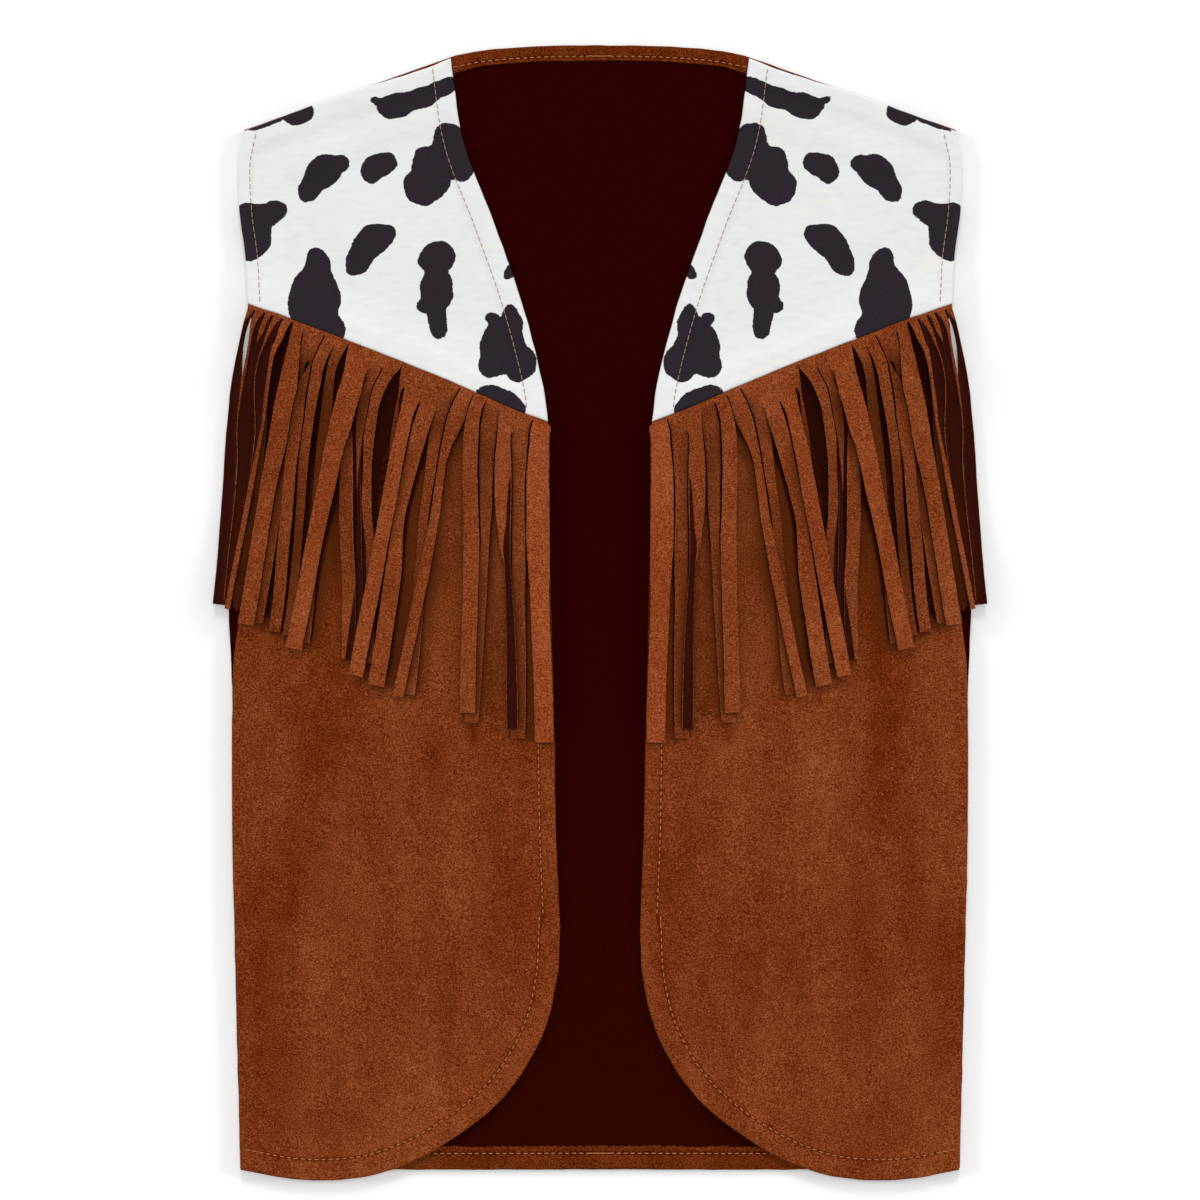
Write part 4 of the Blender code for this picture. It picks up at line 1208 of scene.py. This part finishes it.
class Look:
    """A cloth's material while its nodes are put together."""

    def __init__(self, name, roughness, specular, sheen, sheen_tint):
        self.material = bpy.data.materials.new(name)
        self.material.use_nodes = True
        self.tree = self.material.node_tree
        self.shader = self.tree.nodes["Principled BSDF"]
        self.shader.inputs["Roughness"].default_value = roughness
        self.shader.inputs["Specular IOR Level"].default_value = specular
        self.shader.inputs["Sheen Weight"].default_value = sheen
        self.shader.inputs["Sheen Roughness"].default_value = 0.55
        self.shader.inputs["Sheen Tint"].default_value = (*sheen_tint, 1.0)
        coordinates = self.tree.nodes.new("ShaderNodeTexCoord")
        self.place = coordinates.outputs["Object"]

    def node(self, kind, settings, inputs):
        """A node with its settings made first, and then its values or links."""
        node = self.tree.nodes.new(kind)
        for name, value in settings.items():
            setattr(node, name, value)
        for name, value in inputs.items():
            if isinstance(value, Value):
                self.tree.links.new(value.socket, node.inputs[name])
            elif isinstance(value, bpy.types.NodeSocket):
                self.tree.links.new(value, node.inputs[name])
            else:
                node.inputs[name].default_value = value
        return node

    def maths(self, operation, first, second):
        """A sum of two values or numbers."""
        node = self.node("ShaderNodeMath", {"operation": operation}, {0: first, 1: second})
        return Value(self, node.outputs[0])

    def noise(self, size, detail=2.0, stretch=(1.0, 1.0, 1.0), shift=0.0):
        """Cloudy noise from 0 to 1, with a grain size in millimetres."""
        scale = tuple(1.0 / (MM * size * part) for part in stretch)
        mapping = self.node("ShaderNodeMapping", {}, {
            "Vector": self.place, "Location": (shift, shift, shift), "Scale": scale})
        node = self.node("ShaderNodeTexNoise", {}, {
            "Vector": mapping.outputs[0], "Scale": 1.0, "Detail": detail})
        return Value(self, node.outputs["Fac"])

    def attribute(self, name):
        """A number stored on the piece's corners."""
        node = self.node("ShaderNodeAttribute", {"attribute_name": name}, {})
        return Value(self, node.outputs["Fac"])

    def between(self, value, low, high):
        """0 where a value is under low and 1 where it is over high, with a soft step."""
        node = self.node("ShaderNodeMapRange", {"interpolation_type": "SMOOTHSTEP"}, {
            "Value": value, "From Min": low, "From Max": high})
        return Value(self, node.outputs[0])

    def mix(self, share, first, second):
        """A colour between two others, each a colour or a link."""
        node = self.node("ShaderNodeMix", {"data_type": "RGBA"}, {
            0: share, 6: first, 7: second})
        return node.outputs[2]

    def finish(self, colour, relief, height):
        """Feeds the shader its colour, and its relief as a bump of a height in millimetres."""
        self.tree.links.new(colour, self.shader.inputs["Base Color"])
        bump = self.node("ShaderNodeBump", {}, {
            "Height": relief, "Strength": 1.0, "Distance": height * MM})
        self.tree.links.new(bump.outputs[0], self.shader.inputs["Normal"])
        return self.material


def paint(red, green, blue):
    """A colour in sRGB bytes as the shader's own linear one."""
    parts = [byte / 255 for byte in (red, green, blue)]
    linear = [part / 12.92 if part <= 0.04045 else ((part + 0.055) / 1.055) ** 2.4
              for part in parts]
    return (*linear, 1.0)


# Painted shade: a half shade, and a near-black deep shade for the darkest gaps
SHADED_BROWN = paint(84, 36, 9)
DEEP_SHADE_BROWN = paint(46, 11, 3)
STRAND_REVERSE = (paint(34, 7, 4), paint(62, 19, 12))


def suede_face(name, quiet, bright=None, attributes=()):
    """The brown nap: fine grain, clouds of brushing, darker places and painted shade from the
    strands.

    A tone is three colours: dark, middle and light. The bright tone is painted light on the
    strands, over a quiet tone that is their painted shade, mixed by each strand's layer.
    """
    look = Look(name, 0.95, 0.03, 0.0, (1.0, 1.0, 1.0))
    grain = look.noise(0.5, 1.0)
    fleck = look.noise(0.9, 1.0, shift=3.1)
    cloud = look.noise(7.0, 3.0, shift=7.7)
    brush = look.noise(26.0, 3.0, stretch=(1.0, 2.6, 1.0), shift=1.3)
    tone = 0.5 + (grain - 0.5) * 2.2 + (fleck - 0.5) * 0.8 + (cloud - 0.5) * 0.4
    # Painted shade darkens the tone along the stitching's groove
    tone = tone + (brush - 0.5) * 0.8 - look.attribute("groove") * 0.6
    # The fronts' listed darker places darken the tone
    if "dark_place" in attributes:
        tone = tone - look.attribute("dark_place") * 0.30
    rough_low = look.between(tone, 0.0, 0.52)
    rough_high = look.between(tone, 0.48, 1.0)

    def napped(dark, middle, light):
        return look.mix(rough_high, look.mix(rough_low, dark, middle), light)

    colour = napped(*quiet)
    if bright:
        # The strands' painted light mixes over their painted shade by the nap attribute, which
        # follows the layer
        colour = look.mix(look.attribute("nap"), colour, napped(*bright))
        into = look.attribute("reverse") + (fleck - 0.5) * 0.5
        turned = look.mix(grain, STRAND_REVERSE[0], STRAND_REVERSE[1])
        colour = look.mix(look.between(into, -0.12, 0.12), colour, turned)
    if "hidden" in attributes:
        # Painted shade where the strands hide the suede from the light, near black where most
        # hidden
        hidden = look.attribute("hidden")
        colour = look.mix(look.between(hidden, 0.08, 0.55) * 0.8, colour, SHADED_BROWN)
        colour = look.mix(look.between(hidden, 0.55, 0.85), colour, DEEP_SHADE_BROWN)
    relief = grain * 0.8 + fleck * 0.5 + cloud * 0.4
    return look.finish(colour, relief, 0.20)


def suede_reverse(name, high, low):
    """The dark knitted reverse of the suede cloth, a little warmer towards the hem."""
    look = Look(name, 0.95, 0.02, 0.0, (1.0, 1.0, 1.0))
    grain = look.noise(0.8, 2.0)
    cloud = look.noise(14.0, 2.0, shift=2.0)
    split = look.node("ShaderNodeSeparateXYZ", {}, {0: look.place})
    height = Value(look, split.outputs["Y"])
    fall = look.between(0.0 - height + (cloud - 0.5) * 0.06, -0.02, 0.22)
    base = look.mix(fall, high, low)
    colour = look.mix(look.between(grain, 0.35, 0.75), look.mix(0.22, base, paint(0, 0, 0)), base)
    return look.finish(colour, grain, 0.10)


def cut_edge():
    """The light raw edge of the slit suede, with painted shade where the strands hide it."""
    look = Look("suede_cut_edge", 0.95, 0.03, 0.0, (1.0, 1.0, 1.0))
    grain = look.noise(0.8, 2.0)
    colour = look.mix(look.between(grain, 0.3, 0.7), paint(84, 34, 14), paint(150, 86, 54))
    colour = look.mix(look.between(look.attribute("hidden"), 0.10, 0.70), colour, DEEP_SHADE_BROWN)
    return look.finish(colour, grain, 0.12)


def cow_cotton():
    """Off-white cotton with near-black cow patches."""
    look = Look("cow_cotton_print", 0.88, 0.12, 0.0, (1.0, 1.0, 1.0))
    weave = look.noise(0.55, 1.0)
    slub = look.noise(3.2, 3.0, stretch=(2.2, 0.7, 1.0), shift=4.0)
    cloud = look.noise(30.0, 2.0, shift=9.0)
    warm = look.mix(look.between(cloud, 0.30, 0.75), paint(227, 229, 231), paint(229, 228, 223))
    white = look.mix(look.between(slub, 0.35, 0.80), warm, paint(221, 222, 224))
    black = look.mix(weave, paint(26, 22, 27), paint(46, 41, 47))
    wobble = (look.noise(1.6, 2.0, shift=6.0) - 0.5) * 0.9
    printed = look.between(look.attribute("patch_rim") + wobble, -0.14, 0.14)
    colour = look.mix(printed, black, white)
    relief = weave * 0.5 + slub * 0.5
    return look.finish(colour, relief, 0.08)


def thread(name, colour_low, colour_high):
    """Sewing thread, a little uneven in tone, with painted shade where the strands hide it."""
    look = Look(name, 0.70, 0.20, 0.0, (1.0, 1.0, 1.0))
    twist = look.noise(0.9, 1.0)
    colour = look.mix(twist, colour_low, colour_high)
    colour = look.mix(look.between(look.attribute("hidden"), 0.08, 0.40), colour, DEEP_SHADE_BROWN)
    return look.finish(colour, twist, 0.03)


def table_top():
    """The plain pale surface that the vest lies on."""
    look = Look("pale_table", 0.9, 0.1, 0.0, (1.0, 1.0, 1.0))
    cloud = look.noise(60.0, 2.0)
    colour = look.mix(cloud, paint(249, 249, 249), paint(251, 251, 251))
    return look.finish(colour, cloud, 0.01)


# The pale surface, the sky, and the lamps with their places, spread in degrees and strength
FLOOR_SIZE = 6.0
FLOOR_BELOW = 0.0004
SKY_STRENGTH = 0.40
LAMPS = (
    ("overhead", (0.0, 0.1, 1.6), 40, 0.85),
    ("neck_side", (0.0, 1.2, 0.8), 16, 0.95),
    ("right_side", (-1.2, 0.3, 0.55), 14, 0.9),
    ("left_side", (1.2, 0.3, 0.55), 14, 0.9),
)

# The camera: its lens and sensor in millimetres, and in metres the width it frames and where
LENS = 100.0
SENSOR = 36.0
FRAMED_WIDTH = 0.48
LOOKS_AT_Y = 0.0048
VEST_MIDDLE_Z = 0.005


def soft_light(name, place, spread, strength):
    """An even soft light from one side: the same over the whole table."""
    light = bpy.data.lights.new(name, "SUN")
    light.energy = strength
    light.angle = radians(spread)
    lamp = bpy.data.objects.new(name, light)
    lamp.location = place
    lamp.rotation_euler = (-Vector(place)).to_track_quat("-Z", "Y").to_euler()
    bpy.context.scene.collection.objects.link(lamp)


FACE = (paint(85, 27, 0), paint(118, 52, 19), paint(151, 82, 46))
HEM_FACE = (paint(62, 15, 0), paint(98, 38, 7), paint(126, 61, 26))
# The strands' painted shade, for the low layers, and their painted light
SHADED_STRAND = (paint(76, 26, 2), paint(107, 48, 17), paint(138, 76, 44))
LIT_STRAND = (paint(106, 38, 6), paint(144, 67, 32), paint(175, 94, 55))

body_face = suede_face("suede_face_body", FACE, attributes=("dark_place", "hidden"))
plain_face = suede_face("suede_face_hems", HEM_FACE)
strand_face = suede_face("suede_face_strands", SHADED_STRAND, LIT_STRAND, attributes=("hidden",))
inside_reverse = suede_reverse("suede_reverse_inside", paint(44, 1, 0), paint(47, 5, 0))
strand_reverse = suede_reverse("suede_reverse_strands", paint(46, 16, 12), paint(46, 16, 12))
raw_edge = cut_edge()
cotton = cow_cotton()
brown_thread = thread("brown_thread", paint(142, 80, 42), paint(190, 122, 72))
tan_thread = thread("tan_thread", paint(146, 108, 88), paint(186, 148, 122))

# The back, with its rows of stitches
back_edges = BACK_CUT + mirrored_edges(BACK_CUT)
back_panel = Panel(back_edges, back_bottom, SUEDE, 11.0, step=BACK_STEP, crisp=True)
back = back_panel.shell("vest_back", (plain_face, inside_reverse), reverse_inside=True)
back_seams = stitching("vest_back_topstitching",
                       stitch_rows(back_panel, back_edges, BROWN_STITCH, 0), (brown_thread,))

# The two fronts and yokes, with their rows of stitches
fronts = {}
yokes = {}
seams = {}
for side_name, edges_for, seed in (("right", tuple, 31.0), ("left", mirrored_edges, 67.0)):
    front_edges = edges_for(FRONT_CUT)
    front_panel = Panel(front_edges, front_bottom, SUEDE, seed, fine_above=HIDDEN_ABOVE)
    front = front_panel.shell("vest_%s_front" % side_name, (body_face, inside_reverse))
    mark_dark_places(front)
    yoke_edges = edges_for(YOKE_CUT)
    yoke_panel = Panel(yoke_edges, yoke_bottom, COTTON, seed + 4.0, step=YOKE_STEP)
    yoke = yoke_panel.shell("vest_%s_yoke" % side_name, (cotton, cotton))
    mark_cow_patches(yoke)
    rows = stitch_rows(front_panel, front_edges, BROWN_STITCH, 0)
    rows += stitch_rows(yoke_panel, yoke_edges, TAN_STITCH, 1)
    fronts[side_name] = front
    yokes[side_name] = yoke
    seams[side_name] = stitching("vest_%s_topstitching" % side_name, rows,
                                 (brown_thread, tan_thread))

# The fringe of the right side, the shade between its strands, and its twin on the left
strands = lay_strands()
comb = fringe("vest_right_fringe", strands, (strand_face, strand_reverse, raw_edge))
comb_tree = BVHTree.FromPolygons([vertex.co for vertex in comb.data.vertices],
                                 [tuple(face.vertices) for face in comb.data.polygons])
mark_hidden(comb, comb_tree, own_strands=True)
for piece in (*fronts.values(), *seams.values()):
    mark_hidden(piece, comb_tree)
fringes = {"right": comb, "left": mirrored(comb, "vest_left_fringe")}

# The plain solids that the pieces replace are hidden, the flat areas of the sheets are worked
# out, and every piece hangs from the root
strand_area = sum(ribbon.length * ribbon.strand.width for ribbon in strands) * MM * MM
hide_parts("back")
back_panel.line.area()
for side_name in ("right", "left"):
    front, yoke, comb = fronts[side_name], yokes[side_name], fringes[side_name]
    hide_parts(side_name + "_front")
    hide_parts(side_name + "_yoke")
    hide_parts(side_name + "_fringe")
    Outline(FRONT_CUT, FINE_STEP).area()
    Outline(YOKE_CUT, FINE_STEP).area()
    "vest_%s_front" % side_name
for piece in (back, back_seams, *fronts.values(), *yokes.values(), *seams.values(),
              *fringes.values()):
    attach(piece, "root")

# The pale surface and the light
bpy.ops.object.select_all(action="DESELECT")
bpy.ops.mesh.primitive_plane_add(size=FLOOR_SIZE, location=(0.0, 0.0, -FLOOR_BELOW))
floor = bpy.context.object
floor.name = "pale_floor"
floor.data.materials.append(table_top())

world = bpy.data.worlds.new("studio")
world.use_nodes = True
sky = world.node_tree.nodes["Background"]
sky.inputs["Color"].default_value = (1.0, 1.0, 1.0, 1.0)
sky.inputs["Strength"].default_value = SKY_STRENGTH
bpy.context.scene.world = world
bpy.context.scene.view_settings.view_transform = "Standard"

for lamp in LAMPS:
    soft_light(*lamp)

# The photo's camera, which looks straight down
camera_data = bpy.data.cameras.new("photo_camera")
camera_data.lens = LENS
camera_data.sensor_width = SENSOR
camera = bpy.data.objects.new("photo_camera", camera_data)
camera.location = (0.0, LOOKS_AT_Y, VEST_MIDDLE_Z + FRAMED_WIDTH * LENS / SENSOR)
bpy.context.scene.collection.objects.link(camera)
bpy.context.scene.camera = camera
